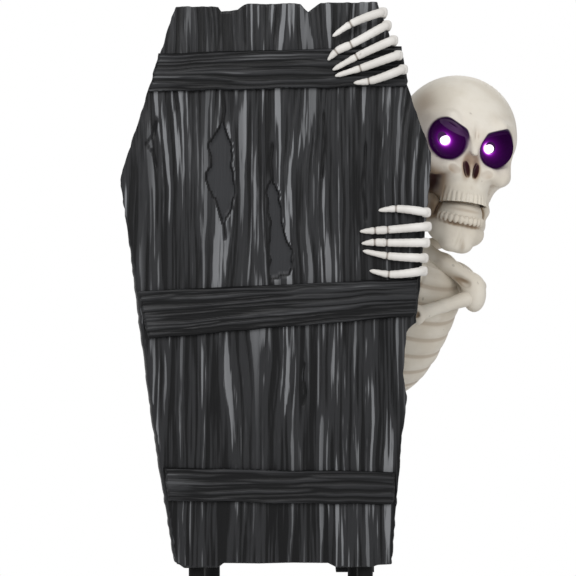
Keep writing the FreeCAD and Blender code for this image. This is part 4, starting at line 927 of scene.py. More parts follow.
        def ring(out: float, back: float, relief_share: float) -> Points:
            """A loop round the border, moved outwards and set back.

            Args:
                out: the share of the side wall's draft that it is moved outwards by.
                back: how far behind the face's plane it lies.
                relief_share: how much of the border's own relief it follows, near the face.

            Returns:
                The loop's points.
            """
            flat = edge + normal * (reach * out)[:, None]
            flat[:, 1] = np.minimum(flat[:, 1], self.height)
            y = np.full(len(flat), back) if back > 2 else rim[:, 1] * relief_share + back
            return np.stack([flat[:, 0], y, flat[:, 1]], -1)

        inner_z = np.clip(edge[:, 1], self.rim + 1, self.height - self.top_inset)
        low_x = np.interp(inner_z, [0, 480, 692], [-130, -194, -125]) + self.rim
        high_x = np.interp(inner_z, [0, 503, 698], [146, 195, 128]) - self.rim - self.worn_inset
        inner_x = np.clip(edge[:, 0], low_x, high_x)
        rings = [ring(*row) for row in ((0, 0, 1), (0.22, 0.5, 0.8), (0.42, 1.9, 0.3), (0.7, 14, 0),
                                        (1, 36, 0), (1, self.depth, 0))]
        rings += [np.stack([inner_x, np.full(len(inner_x), y), inner_z], -1)
                  for y in (self.depth, self.skin)]
        # Painted shade: the paint values fall from the face's brushed edge back along the side wall and
        # over the hollow inside, which turn near black.
        levels = np.array([0.25, 0.1, -0.3, -0.7, -0.8, -0.8, -0.9, -0.9])
        shell.add_grid(np.stack(rings), paint=np.repeat(levels[:, None], len(rim), 1))
        shell.loops.append(shell.count - len(rim) + np.arange(len(rim)))
        piece = shell.piece("coffin_planks", shop.places.coffin, 4e-6)
        shop.fit(piece, Finish.COFFIN, "coffin_plastic", "stand", "coffin_front")


@dataclass
class Batten:
    """A slat across the planks: four corners, wavy long edges, rounded border and grain along it."""

    name: str
    corners: tuple
    seed: int
    thickness: float = 8.0
    round_edge: float = 3.2
    relief: float = 1.5

    def build(self, shop: Workshop) -> None:
        """Makes the slat: a grid between its corners, rounded down at its border, with a flat back.

        Args:
            shop: the frames and finishes.
        """
        upper_left, upper_right, lower_right, lower_left = (np.array(c, float) for c in self.corners)
        length = np.linalg.norm(upper_right - upper_left)
        width = np.linalg.norm(upper_left - lower_left)
        s, t = np.meshgrid(np.linspace(0, 1, int(length / 2.4)), np.linspace(0, 1, int(width / 0.95)))
        along, across = s * length, t * width
        wave = 0.9 * value_noise(along / 26, t * 1.3, self.seed)
        low = lower_left + (lower_right - lower_left) * s[..., None]
        high = upper_left + (upper_right - upper_left) * s[..., None]
        flat = low + (high - low) * t[..., None]
        end_wave = value_noise(across / 8, s * 1.5, self.seed + 4)
        flat = flat + np.stack([1.1 * end_wave * (np.abs(2 * s - 1) ** 8), wave], -1)
        corner_cut = np.clip(6 - (length - along) - across, 0, 6) * 0.6
        flat[..., 0] -= corner_cut
        border = np.minimum(np.minimum(along, length - along), np.minimum(across, width - across))
        r = self.round_edge
        sunk = r - np.sqrt(np.clip(r * r - np.clip(r - border, 0, r)**2, 0, None))
        grain = wood_relief(across * 1.15, along, self.seed)
        paint = grain - 0.12 + 0.35 * ease(-along, -40, 0)
        depth = -self.thickness + self.relief * (0.75 - ease(grain, -0.45, 0.45)) + sunk * 0.9
        shell = Shell()
        face = np.stack([flat[..., 0], depth, flat[..., 1]], -1)
        shell.add_grid(face, wrap_columns=False, paint=paint)
        rim = face.reshape(-1, 3)[ring_of(*s.shape)]
        back = rim.copy()
        back[:, 1] = 0.8
        # Painted shade: the slat's edges, from its face back to the board, are painted near black.
        shell.add_grid(np.stack([rim, back]), paint=-0.6)
        shell.loops.append(shell.count - len(rim) + np.arange(len(rim)))
        piece = shell.piece(self.name + "_slat", shop.places.coffin, 4e-6)
        shop.fit(piece, Finish.BATTEN, "coffin_plastic", "stand", self.name)


BATTENS = (
    Batten("batten_top", ((-144, 633), (156, 642), (166, 593), (-156.5, 586.5)), 61),
    Batten("batten_middle", ((-170, 339), (177, 355), (175, 309), (-157, 279.5)), 77),
    Batten("batten_bottom", ((-136, 120.6), (148, 115), (148, 75), (-133, 79)), 93),
)


# ---------------------------------------------------------------- hands

@dataclass
class Hand:
    """A bony hand that grips the board's right edge: five fingers in front, the palm behind."""

    name: str
    fingers: tuple
    palm: tuple[float, float]
    wrist: tuple[float, float]
    lift: float = 0.0
    board: float = 48.0
    knuckle: float = 5.9

    def finger(self, shell: Shell, points: Sequence[Sequence[float]], order: int) -> None:
        """Adds one finger, from its tip to the wrist.

        Its path runs over the face, bends round the edge and goes behind the board. Its radius swells
        at both ends of each bone and pinches in where two bones meet.

        Args:
            shell: the hand's shell.
            points: the finger's joints on the face, from its root to its tip.
            order: the finger's number, from 0 at the top.
        """
        front = -self.lift - self.knuckle + 0.3
        root = points[0]
        behind = self.board + self.knuckle + 0.6
        path = [(x, front + (1.2 if k == 0 else 0), z) for k, (x, z) in enumerate(points[::-1])]
        path[-1] = (root[0] - self.knuckle * 0.9, front, root[1])
        spread = (2 - order) * 4.2
        outside = root[0] - 5.5
        path += [(outside, front + 7, root[1]), (outside + 0.6, behind - 9, root[1] - 1),
                 (outside - 7, behind, root[1] - 3),
                 (self.palm[0] + 16, behind + 1.5, self.palm[1] + spread * 2.1),
                 (self.palm[0] - 4, behind + 2, self.palm[1] + spread * 1.5),
                 (self.wrist[0] + 4, behind + 2, self.wrist[1] + spread * 0.8)]
        curve = curve_through(path, 150)
        run = np.concatenate([[0], np.cumsum(np.linalg.norm(np.diff(curve, axis=0), axis=1))])
        corner = np.array(path)
        joints = [run[np.argmin(np.linalg.norm(curve - corner[k], axis=1))] for k in range(len(path))]
        tip_end, root_at = joints[1], joints[len(points) - 1]
        thick = self.knuckle
        marks = [(0, 0.9), (2.2, 2.2), (7, 3.2), (tip_end * 0.6, 3.5), (tip_end - 5, 4.2), (tip_end, 4.7)]
        for k in range(2, len(points)):
            marks += [(joints[k - 1] + 5, 4.8), (joints[k] - 4, 5.1)]
        swells = ((root_at - 14, 0.92), (root_at - 3, 0.98), (root_at, 0.8), (joints[-6] + 1, 0.46),
                  (joints[-5], 0.44), (joints[-4] - 4, 0.7), (joints[-4] + 4, 0.98),
                  (joints[-3] - 6, 0.74), (joints[-2], 0.8), (run[-1], 0.95))
        marks += [(at, thick * share) for at, share in swells]
        table = np.array(sorted(marks))
        radius = np.interp(run, table[:, 0], table[:, 1])
        radius = np.convolve(np.pad(radius, 2, mode="edge"), np.ones(5) / 5, "valid")
        pinch = sum(np.exp(-((run - at) / 1.5)**2) for at in [*joints[1:len(points) - 1], joints[-4]])
        radius = radius * (1 - 0.22 * np.minimum(pinch, 1)) + 0.12 * np.sin(run * 0.9 + order)
        radius[0] = 0.5
        grid = carried(curve, np.maximum(radius, 0.4), 20)
        # Painted shade: darker in the pinched joints, and on the part behind the board, the more the
        # further back.
        wash_and_shade = 0.75 * np.minimum(pinch, 1) + 0.22 * ease(curve[:, 1], 0, 40)
        shell.add_grid(grid, paint=np.repeat(wash_and_shade[:, None], grid.shape[1], 1), closed_ends=True)
        self.blob(shell, (root[0] - 5.2, front, root[1]), (6.2, 5.6, 6.2), 0.7)

    def blob(self, shell: Shell, centre: Sequence[float], radii: Sequence[float],
             power: float = 1.0) -> None:
        """Adds a rounded lump: a sphere whose sines and cosines are raised to a power.

        Args:
            shell: the hand's shell.
            centre: the lump's middle.
            radii: its half sizes.
            power: 1 for an ellipsoid, towards 0 for a block.
        """
        v, u = np.meshgrid(np.linspace(-math.pi / 2, math.pi / 2, 21),
                           np.linspace(0, 2 * math.pi, 29)[:-1], indexing="ij")
        turns = (np.cos(v), np.cos(u), np.sin(u), np.sin(v))
        out, right, back, up = (np.sign(a) * np.abs(a)**power for a in turns)
        grid = np.stack([radii[0] * out * right, radii[1] * out * back, radii[2] * up], -1)
        shell.add_grid(grid + np.array(centre), paint=0.15)

    def build(self, shop: Workshop) -> None:
        """Makes the hand's one moulding."""
        shell = Shell()
        for order, points in enumerate(self.fingers):
            self.finger(shell, points, order)
        behind = self.board + self.knuckle + 2
        self.blob(shell, (self.wrist[0], behind + 1, self.wrist[1]), (10, 7, 11))
        self.blob(shell, (self.palm[0], self.board + 4.2, self.palm[1]), (15, 4.2, 11), 0.35)
        piece = shell.piece(self.name + "_bones", shop.places.coffin)
        shop.fit(piece, Finish.HAND, "hand_paint", "stand", self.name)


HANDS = (
    Hand("upper_hand", (
        ((138, 683), (94, 669), (71, 653.5)),
        ((143, 667), (94, 643.6), (76, 635), (65, 624)),
        ((151, 648.5), (100, 628), (71, 612)),
        ((157, 630), (105, 614), (74, 604.5)),
        ((163, 612.6), (115, 598), (97, 596))), (98, 602), (78, 564), 8.0),
    Hand("lower_hand", (
        ((192, 436.5), (149, 441), (128, 439)),
        ((193, 419), (139, 415), (123, 414), (105, 413)),
        ((191, 399), (139, 399), (123, 399.5), (107, 398)),
        ((189, 380), (138, 383), (108.5, 389)),
        ((188, 364), (141, 360), (117, 364.5))), (142, 395), (98, 377)),
)


# ---------------------------------------------------------------- torso

@dataclass
class RibCage:
    """A moulded chest: an oval shell whose radius follows the ribs. Z runs along the lean."""

    low: float = 120.0
    height: float = 180.0
    half_width: float = 75.0
    depth_ratio: float = 0.75
    centre_y: float = 94.0
    wall: float = 3.0
    pitch: float = 23.5
    relief: float = 4.2
    seam: float = 0.004
    # The inner surface is painted darker all over: painted shade inside the shell.
    inner_shade: float = 0.6
    profile: tuple = ((0, 0.5), (0.1, 0.69), (0.22, 0.85), (0.4, 0.96), (0.6, 1), (0.8, 1), (0.92, 0.94),
                      (1, 0.83))

    def walls(self, shell: Shell, outer: Points, inner: Points, paint: Points) -> None:
        """Adds two grids of points, one inside the other, and joins their borders.

        Args:
            shell: the half's shell.
            outer: the outer surface.
            inner: the inner surface, with as many rows and columns.
            paint: the outer surface's paint values.
        """
        rows, columns = outer.shape[:2]
        border = ring_of(rows, columns) + shell.count
        shell.add_grid(outer, wrap_columns=False, paint=paint)
        shell.add(inner, lattice(rows, columns, False, False)[:, ::-1], self.inner_shade)
        count = rows * columns
        after = np.roll(border, -1)
        shell.faces.append(np.stack([border, border + count, after + count, after], -1))

    def half(self, start: float, end: float) -> Shell:
        """One half of the shell, between two angles from the right side towards the back.

        The rib's phase is the height less a drop that grows towards the front and a rise towards the
        back. Each rib is a broad round band, and each gap a narrow trough. A breastbone covers the
        ribs' front ends and the backbone's spines stand out behind.

        Args:
            start: the first angle.
            end: the last angle.

        Returns:
            The half's shell, still open at its top and bottom.
        """
        angle = np.linspace(start, end, 211)
        rise = np.linspace(0, 1, 151)
        s, a = np.meshgrid(rise, angle, indexing="ij")
        table = np.array(self.profile)
        share = np.interp(rise, table[:, 0], table[:, 1])
        padded = np.pad(share, 9, mode="reflect", reflect_type="odd")
        share = np.convolve(padded, np.hanning(21)[1:-1] / 10, "valid")
        radius = self.half_width * share[:, None]
        front = np.clip(-np.sin(a), 0, 1)
        rear = np.clip(np.sin(a), 0, 1)
        z = self.low + self.height * s
        sweep = -30 * front**0.9 + 15 * rear
        phase = (z - sweep + 4) / self.pitch
        gap = np.abs(phase - np.round(phase)) * self.pitch
        trough = np.exp(-(gap / 5.4)**2)
        plate = ease(np.abs(np.cos(a)) * radius, 15, 10) * front
        spine = ease(np.abs(np.cos(a)) * radius, 13, 8) * rear
        fade = ease(s, 0.0, 0.06) * ease(-s, -1.0, -0.93)
        relief = -self.relief * trough * (1 - plate) * (1 - spine) * fade * (1 - 0.8 * np.cos(a)**6)
        knob = 0.5 + 0.5 * np.cos(2 * math.pi * z / self.pitch)
        relief = relief + 1.2 * plate + spine * (1.0 + 4.5 * knob)
        edge = np.exp(-((np.abs(np.cos(a)) * radius - 14) / 2.5)**2) * np.maximum(front, rear)
        relief = relief - 1.6 * edge * fade + 0.4
        r = radius + np.minimum(relief, 2.0)
        outer = np.stack([r * np.cos(a), self.centre_y + r * np.sin(a) * self.depth_ratio, z], -1)
        inner_r = radius - self.wall - self.relief
        inner = np.stack([inner_r * np.cos(a), self.centre_y + inner_r * np.sin(a) * self.depth_ratio,
                          np.clip(z, self.low + self.wall, self.low + self.height - self.wall)], -1)
        # Washed brown and painted shade in the crease under each rib and along the edges of the breastbone
        # and backbone; the lowest fifth is darker too.
        crease = np.exp(-((gap - 1.0) / 2.6)**2)
        wash_and_shade = 0.42 * crease * (1 - plate) * (1 - spine) * fade
        wash_and_shade = wash_and_shade + 0.25 * edge + 0.2 * ease(-s, -0.2, 0)
        shell = Shell()
        self.walls(shell, outer, inner, wash_and_shade)
        return shell

    def caps(self, shell: Shell, start: float, end: float) -> None:
        """Closes the half's top and bottom openings with shallow domes between the wall's rims.

        Args:
            shell: the half's shell.
            start: the first angle.
            end: the last angle.
        """
        angle = np.linspace(start, end, 121)
        for level, share, bulge in ((self.low + self.height, 0.83, 19.0), (self.low, 0.5, -4.0)):
            ring = np.linspace(1, 0.0, 14)
            t, a = np.meshgrid(ring, angle, indexing="ij")
            r = (self.half_width * share + 0.4) * t
            z = level - np.sign(bulge) * 0.05 + bulge * (1 - t**2)
            top = np.stack([r * np.cos(a), self.centre_y + r * np.sin(a) * self.depth_ratio, z], -1)
            under = top - [0, 0, math.copysign(self.wall, bulge)]
            self.walls(shell, top, under, 0.12 + 0.3 * (1 - t))

    def build(self, shop: Workshop) -> None:
        """Makes the front and rear halves."""
        for name, start, end in (("rib_cage_front", -math.pi + self.seam, -self.seam),
                                 ("rib_cage_back", self.seam, math.pi - self.seam)):
            shell = self.half(start, end)
            self.caps(shell, start, end)
            piece = shell.piece(name + "_shell", shop.places.torso)
            shop.fit(piece, Finish.BONE, "bone_plastic", "torso", name)


def from_field(shape: Field, name: str, place: LocalFrame, value: Points | None = None, reach: float = 7.0,
               stains_and_shade: Sequence[tuple[Sequence[float], float, float]] = (),
               glow: Callable[[Points], tuple[Points, Points]] | None = None,
               marks_in_face: bool = False) -> bpy.types.Object:
    """Makes a piece from a field, washed brown and painted with shade in its hollows, and marked in some
    places.

    Args:
        shape: the field.
        name: the piece's name.
        place: the frame that the field is in.
        value: the field to skin, where it isn't the shape's own.
        reach: how far out the hollows are felt.
        stains_and_shade: centre, radius and strength of each mark, brown stain and painted shade alike,
            which falls off with the square of distance.
        glow: gives the glow and lamp values at points, for the skull.
        marks_in_face: whether the marks are placed in the face's coordinates.

    Returns:
        The new object.
    """
    points, faces = shape.skin(shape.value if value is None else value)
    marked = Field.unface(points) if marks_in_face else points
    # Painted shade, in the washed brown: the hollows are darkened.
    wash_and_shade = np.clip(shape.hollows(points, reach) - 0.16, 0, 1) * 0.9
    for centre, radius, strength in stains_and_shade:
        gap = np.linalg.norm((marked - np.array(centre)) / np.array(radius), axis=1)
        wash_and_shade = wash_and_shade + strength * np.exp(-gap**2)
    shell = Shell()
    shell.add(points, faces, np.clip(wash_and_shade, 0, 1.6))
    piece = shell.piece(name, place)
    if glow is not None:
        back = np.zeros(len(piece.data.vertices) * 3)
        piece.data.vertices.foreach_get("co", back)
        local = (back.reshape(-1, 3) / MM - place.origin) @ place.axes
        for label, numbers in zip(("glow", "lamp"), glow(local)):
            layer = piece.data.attributes.new(label, "FLOAT", "POINT")
            layer.data.foreach_set("value", numbers.astype(np.float32))
    return piece


@dataclass
class Shoulders:
    """Collar bones with their shoulder knobs, and the two upper arms."""

    reach: float = 85.5
    rise: float = 290.0
    collar_y: float = 66.0
    arm_y: float = 56.0
    elbows: tuple = (("upper_arm_right", 1, (23, 21, 235)), ("upper_arm_left", -1, (-122, 50, 375)))
    voxel: float = 1.3
    margin: float = 26

    def collar(self, shop: Workshop) -> None:
        """Makes the collar bones: flat curved bars from the neck, blended into a knob at each end."""
        shape = Field((-114, 34, 252), (114, 98, 344), self.voxel)
        y = self.collar_y
        for side in (-1, 1):
            bend, tip = (side * 34, y - 6, 311), (side * 66, y - 10, 302)
            shape.join(shape.limb((0, y + 6, 314), (side * 34, y - 5, 310), 13.5, 11), 6)
            shape.join(shape.limb(bend, tip, 11.5, 10), 6)
            shape.join(shape.limb(tip, (side * 82, self.arm_y + 2, 299), 9.5, 9.5), 8)
            shape.join(shape.ellipsoid((side * 83, self.arm_y + 2, 289), (16, 16, 25), 24 * side), 6)
            shape.join(shape.limb((side * 88, self.arm_y + 18, 300), (side * 46, 88, 286), 9, 7), 8)
            shape.join(shape.ellipsoid((side * 54, 84, 294), (34, 8, 26)), 8)
            shape.carve(shape.ellipsoid((side * 31, y - 18, 326), (3.4, 4, 4.2)), 2)
            shape.carve(shape.ellipsoid((side * 60, self.arm_y - 12, 296), (13, 9, 5)), 6)
        # Painted shade in the two carved pits and in the carved hollows near the shoulder knobs.
        stains_and_shade = [((s * 31, y - 16, 326), (5, 8, 5), 0.75) for s in (-1, 1)]
        stains_and_shade += [((s * 56, y - 14, 297), (20, 14, 6), 0.45) for s in (-1, 1)]
        piece = from_field(shape, "collar_and_shoulders", shop.places.torso, stains_and_shade=stains_and_shade)
        shop.fit(piece, Finish.BONE, "bone_plastic", "torso", "collar_bones")

    def arm(self, shop: Workshop, name: str, side: int, elbow: Sequence[float]) -> None:
        """Makes one upper arm: a shaft waisted in its middle, with two lobes at the elbow.

        Args:
            shop: the frames and finishes.
            name: the node that it stands for.
            side: 1 for the right arm, -1 for the left.
            elbow: the elbow's place in the torso's frame.
        """
        shoulder = np.array([side * (self.reach - 4), self.arm_y - 2, self.rise - 8.0])
        end = np.array(elbow, float)
        shape = Field(np.minimum(shoulder, end) - self.margin, np.maximum(shoulder, end) + self.margin,
                      self.voxel)
        middle = shoulder + (end - shoulder) * 0.5
        shape.join(shape.limb(shoulder, middle, 10.5, 7.8), 5)
        shape.join(shape.limb(middle, end, 7.8, 9.5), 5)
        run = (end - shoulder) / np.linalg.norm(end - shoulder)
        across = np.cross(run, [0, 1, 0])
        for lobe in (-1, 1):
            shape.join(shape.ellipsoid(end + across * lobe * 5.5, (8.5, 8, 8.5)), 4)
        shape.carve(shape.ellipsoid(end - [0, 10, 0], (4, 5, 4)), 3)
        piece = from_field(shape, name + "_bone", shop.places.torso, stains_and_shade=[(end, (18, 18, 18), 0.25)])
        shop.fit(piece, Finish.BONE, "bone_plastic", "torso", name)

    def build(self, shop: Workshop) -> None:
        """Makes the collar and both arms."""
        self.collar(shop)
        for name, side, elbow in self.elbows:
            self.arm(shop, name, side, elbow)


@dataclass
class Neck:
    """Three moulded neck bones round the neck motor."""

    low: float = -133.0
    high: float = -95.0
    radius: float = 21.0
    back: float = 10.0
    bore: float = 15.2
    bones: int = 3

    def build(self, shop: Workshop) -> None:
        """Makes the sleeve: a ring profile that swells at each bone, with spurs at its back and sides.

        Args:
            shop: the frames and finishes.
        """
        z = np.linspace(self.low, self.high, 61)
        a = np.linspace(0, 2 * math.pi, 73)[:-1]
        zz, aa = np.meshgrid(z, a, indexing="ij")
        beat = 0.5 - 0.5 * np.cos(2 * math.pi * (zz - self.low) / (self.high - self.low) * self.bones)
        spur = np.exp(-((aa - math.pi / 2) / 0.28)**2) * 5
        side = (np.exp(-(np.mod(aa + 0.3, math.pi) - 0.3)**2 / 0.05)) * 2
        r = self.radius - 4 + beat**0.6 * 4 * 0.9 + beat * (spur * 0.5 + side * 0.6)
        r = np.minimum(r, self.radius + 2)
        outer = np.stack([r * np.cos(aa), self.back + r * np.sin(aa), zz], -1)
        inner = np.stack([self.bore * np.cos(aa), self.back + self.bore * np.sin(aa), zz], -1)[::-1]
        shell = Shell()
        # Painted shade, in the washed brown: darker in the waists between the bones and all over the bore.
        wash_and_shade = np.concatenate([np.clip(0.8 - beat * 1.4, 0, 1), np.full(beat.shape, 0.8)])
        shell.add_grid(np.concatenate([outer, inner]), wrap_rows=True, paint=wash_and_shade)
        piece = shell.piece("neck_vertebrae", shop.places.head)
        shop.fit(piece, Finish.BONE, "bone_plastic", "torso", "neck_bones")


# ---------------------------------------------------------------- head

@dataclass
class Skull:
    """Skull with glowing sockets, in the head's own frame: X right, Y back, Z up from the dome."""

    wall: float = 3.5
    split: float = 12.0
    voxel: float = 1.25
    socket: tuple[float, float, float] = (33.0, -84.0, -9.8)
    socket_size: tuple[float, float, float] = (24.8, 42.0, 28.0)
    socket_roll: float = 16.0
    lamp: tuple[float, float, float] = (30.0, -54.0, -12.0)
    teeth_low: float = -93.0
    lens: float = 5.6
    brow_slope: float = 0.42
    brow_height: float = -1.0

    def shape(self) -> Field:
        """The skull's outside: blended rounded forms, with sockets, nose and hollows taken away.

        Returns:
            The field, with the samples left in the face's coordinates.
        """
        f = Field((-86, -100, -100), (86, 96, 84), self.voxel)
        f.join(f.ellipsoid((0, 4, 1), (78, 88, 77)), 1)
        f.value = -soft_union(-f.value, f.z + 63, 10)
        f.lower_face()
        f.join(f.ellipsoid((0, -58, 2), (54, 25, 27)), 14)
        f.join(f.ellipsoid((0, -30, 0), (67, 40, 40)), 12)
        f.join(f.ellipsoid((0, -44, -52), (38, 36, 34)), 9)
        f.join(f.ellipsoid((0, -28, -76), (38, 32, 22)), 8)
        for s in (-1, 1):
            f.join(f.limb((s * 9, -81, -4), (s * 33, -78, 15), 7, 7.5), 7)
            f.join(f.limb((s * 33, -78, 17), (s * 51, -60, 16), 7.0, 6.0), 10)
            f.join(f.limb((s * 54, -52, 14), (s * 53.5, -50, -32), 6.0, 7.5), 10)
            f.join(f.ellipsoid((s * 48, -54, -44), (12.5, 14, 13), -s * 12), 8)
            f.join(f.limb((s * 54, -46, -46), (s * 66, -14, -40), 9, 6), 7)
            f.join(f.limb((s * 45, -44, -52), (s * 38, -30, -76), 10, 8), 8)
            f.join(f.limb((s * 66, -14, -40), (s * 64, 10, -36), 6, 6), 6)
            f.join(f.limb((s * 26, -70, -44), (s * 44, -62, -50), 9, 9), 7)
            f.join(f.limb((s * 40, -12, -60), (s * 34, -12, -76), 8, 7), 6)
            f.carve(f.ellipsoid((s * 51, -54, -78), (14, 22, 17)), 6)
        f.join(f.limb((0, -80, -4), (0, -84, -22), 6.0, 4.5), 8)
        f.join(f.ellipsoid((0, -50, -78), (33, 34, 21)), 7)
        f.value = -soft_union(-f.value, f.z - self.teeth_low - 2.0, 3)
        f.carve(f.ellipsoid((0, -46, -100), (28, 34, 25)), 2)
        for s in (-1, 1):
            centre = (s * self.socket[0], self.socket[1], self.socket[2])
            under = (f.z - s * f.x * self.brow_slope - self.brow_height) * 0.9
            bowl = f.ellipsoid(centre, self.socket_size, -s * self.socket_roll)
            f.carve(-soft_union(-bowl, -under, 13), 4.5)
            f.carve(f.ellipsoid((s * 6.6, -86, -44), (4.9, 17, 13.5), -s * 12), 1.4)
            f.carve(f.ellipsoid((s * 23, -80, -47), (7, 5, 5), s * 25), 5)
            f.carve(f.ellipsoid((s * 14, -92, -40), (3, 8, 12), s * 20), 3)
        f.carve(f.ellipsoid((2, -87, -67), (3.2, 5, 4)), 2)
        f.carve(f.ellipsoid((0, -93, 4), (3, 9, 13)), 6)
        self.teeth(f)
        return f

    def teeth(self, f: Field) -> None:
        """Adds the upper row: pegs side by side round the arch, their roots fading into the bone."""
        for k, angle in enumerate(np.linspace(-74, 74, 14)):
            a = math.radians(angle)
            x, y = 30 * math.sin(a), -51 - 33 * math.cos(a)
            wide = 3.3 + 0.5 * math.cos(a)
            f.join(f.limb((x * 0.98, y + 0.6, -77), (x, y - 0.6, self.teeth_low + 3.0), 2.6, wide), 0.8)
            b = math.radians(angle + 5.7)
            f.carve(f.limb((31 * math.sin(b), -51.5 - 34.5 * math.cos(b), -72),
                           (32 * math.sin(b), -51.5 - 36 * math.cos(b), self.teeth_low), 1.1, 2.0), 1.0)

    def glow(self, points: Points) -> tuple[Points, Points]:
        """How purple each point is, inside the sockets, and how strongly it glows with its lamp's painted
        light.

        Purple, the socket's dark paint with painted purple light, follows the scaled distance from a
        socket's middle. The lamp's painted light, an emission of the bone, falls off with distance from the
        lamp.

        Args:
            points: points of the skull in the head's frame.

        Returns:
            The purple's share, 0 to 1, and the light's strength.
        """
        points = Field.unface(points)
        tint = np.zeros(len(points))
        light = np.zeros(len(points))
        front = points[:, 1] < -20
        for s in (-1, 1):
            roll = math.radians(-s * self.socket_roll)
            c, q = math.cos(roll), math.sin(roll)
            x, y, z = (points - [s * self.socket[0], self.socket[1], self.socket[2]]).T
            x, z = x * c + z * q, z * c - x * q
            scaled = np.sqrt((x / self.socket_size[0])**2 + (z / self.socket_size[2])**2)
            deep = ease(y, -8, 16)
            inside = ease(-scaled, -1.12, -0.86)
            tint = np.maximum(tint, inside * np.clip(deep + ease(-scaled, -1.04, -0.9), 0, 1) * front)
            brow = s * points[:, 0] * self.brow_slope + self.brow_height
            tint = tint * np.where(s * points[:, 0] > 0, ease(brow - points[:, 2], -2.5, 0.5), 1)
            gap = np.linalg.norm(points - [s * self.lamp[0], self.lamp[1] - 4, self.lamp[2]], axis=1)
            light = light + 0.28 * np.exp(-gap / 11) * front
        return tint, light

    def cups(self, shop: Workshop) -> None:
        """Makes the two socket linings: a bowl that follows the socket, pierced for the lamp.

        The paint value is painted light from the lamp, shown by emission: a bright halo round the lens,
        and a fainter wide one.

        Args:
            shop: the frames and finishes.
        """
        shell = Shell()
        a, t = np.meshgrid(np.linspace(0, 2 * math.pi, 65)[:-1], np.linspace(0, 1, 33))
        polar = 0.30 + t * 0.92
        rx, ry, rz = (v - 0.9 for v in self.socket_size)
        for s in (-1, 1):
            roll = math.radians(-s * self.socket_roll)
            x, y, z = rx * np.sin(polar) * np.cos(a), ry * np.cos(polar), rz * np.sin(polar) * np.sin(a)
            x, z = x * math.cos(roll) - z * math.sin(roll), z * math.cos(roll) + x * math.sin(roll)
            inner = np.stack([x, y, z], -1) + [s * self.socket[0], self.socket[1], self.socket[2]]
            brow = s * inner[..., 0] * self.brow_slope + self.brow_height - 0.8
            inner[..., 2] = np.minimum(inner[..., 2], brow - 1.5)
            outer = inner + [0, 1.4, 0]
            grid = np.concatenate([inner, outer[::-1]])
            # Painted light: the lamp's glow on the lining, with a bright halo round the lens.
            gap = np.hypot(grid[..., 0] - s * self.lamp[0], grid[..., 2] - self.lamp[2])
            halo = 2.6 * np.exp(-(np.maximum(gap - 4, 0) / 3.6)**2)
            light = 0.03 + halo + 0.42 * np.exp(-(gap / 11.5)**2)
            shell.add_grid(Field.face(grid), wrap_rows=True, paint=light)
        piece = shell.piece("eye_socket_linings", shop.places.head, 1e-9)
        piece.data.attributes["paint"].name = "lamp"
        shop.fit(piece, Finish.CUP, "socket_purple", "head", "eye_cups")

    def build(self, shop: Workshop) -> None:
        """Makes the front and rear shells of the skull, the socket linings and the lenses.

        Args:
            shop: the frames and finishes.
        """
        f = self.shape()
        shell = np.maximum(f.value, -(f.value + self.wall))
        hole = np.hypot(f.x, f.y - 10) - 6
        shell = np.maximum(shell, -np.maximum(hole, f.z + 40))
        # Stained brown on the temples and cheek sides, much darker on the left than on the right. Painted
        # shade in the nose holes, the hollows beside the nose, the small pit under it and along the upper
        # teeth's lower edge.
        stains_and_shade = [((-62, -40, 30), (22, 36, 32), 0.46), ((60, -50, 20), (12, 20, 22), 0.12),
                  ((-46, -46, -72), (19, 32, 25), 1.7), ((46, -52, -76), (11, 24, 14), 0.42),
                  ((0, -88, -93), (34, 40, 2.2), 0.4), ((-24, -78, -49), (8, 9, 5), 0.34),
                  ((24, -78, -49), (7, 9, 5), 0.26), ((2, -86, -67), (3.5, 6, 4), 0.6),
                  ((-6.6, -74, -44), (5.6, 8, 14), 1.5), ((6.6, -74, -44), (5.6, 8, 14), 1.5)]
        for name, side, label in (("skull_front", 1, "skull_face"), ("skull_back", -1, "skull_rear")):
            half = np.maximum(shell, side * (f.y - self.split) + 0.18)
            piece = from_field(f, label, shop.places.head, half, 6.5, stains_and_shade if side > 0 else (),
                               glow=self.glow, marks_in_face=True)
            shop.fit(piece, Finish.SKULL, "bone_plastic", "head", name)
        self.cups(shop)
        self.lenses(shop)

    def lenses(self, shop: Workshop) -> None:
        """Makes the two lamp lenses: a round stem with a domed front, as a profile turned about Y.

        Args:
            shop: the frames and finishes.
        """
        shell = Shell()
        bend = np.linspace(0, math.pi / 2, 11)
        radius = np.concatenate([[0.01], self.lens * np.sin(bend)[1:], [self.lens, self.lens * 0.9, 0.01]])
        back = np.concatenate([[-self.lens], -self.lens * np.cos(bend)[1:], [9.0, 10.0, 10.0]])
        r, a = np.meshgrid(radius, np.linspace(0, 2 * math.pi, 41)[:-1], indexing="ij")
        y = np.repeat(back[:, None], a.shape[1], 1)
        for s in (-1, 1):
            grid = np.stack([r * np.cos(a), y, r * np.sin(a)], -1)
            shell.add_grid(grid + Field.face(np.array([s * self.lamp[0], self.lamp[1] + 4, self.lamp[2]])))
        piece = shell.piece("eye_lamp_lenses", shop.places.head)
        shop.fit(piece, Finish.LAMP, "eye_light", "head", "eye_lenses")


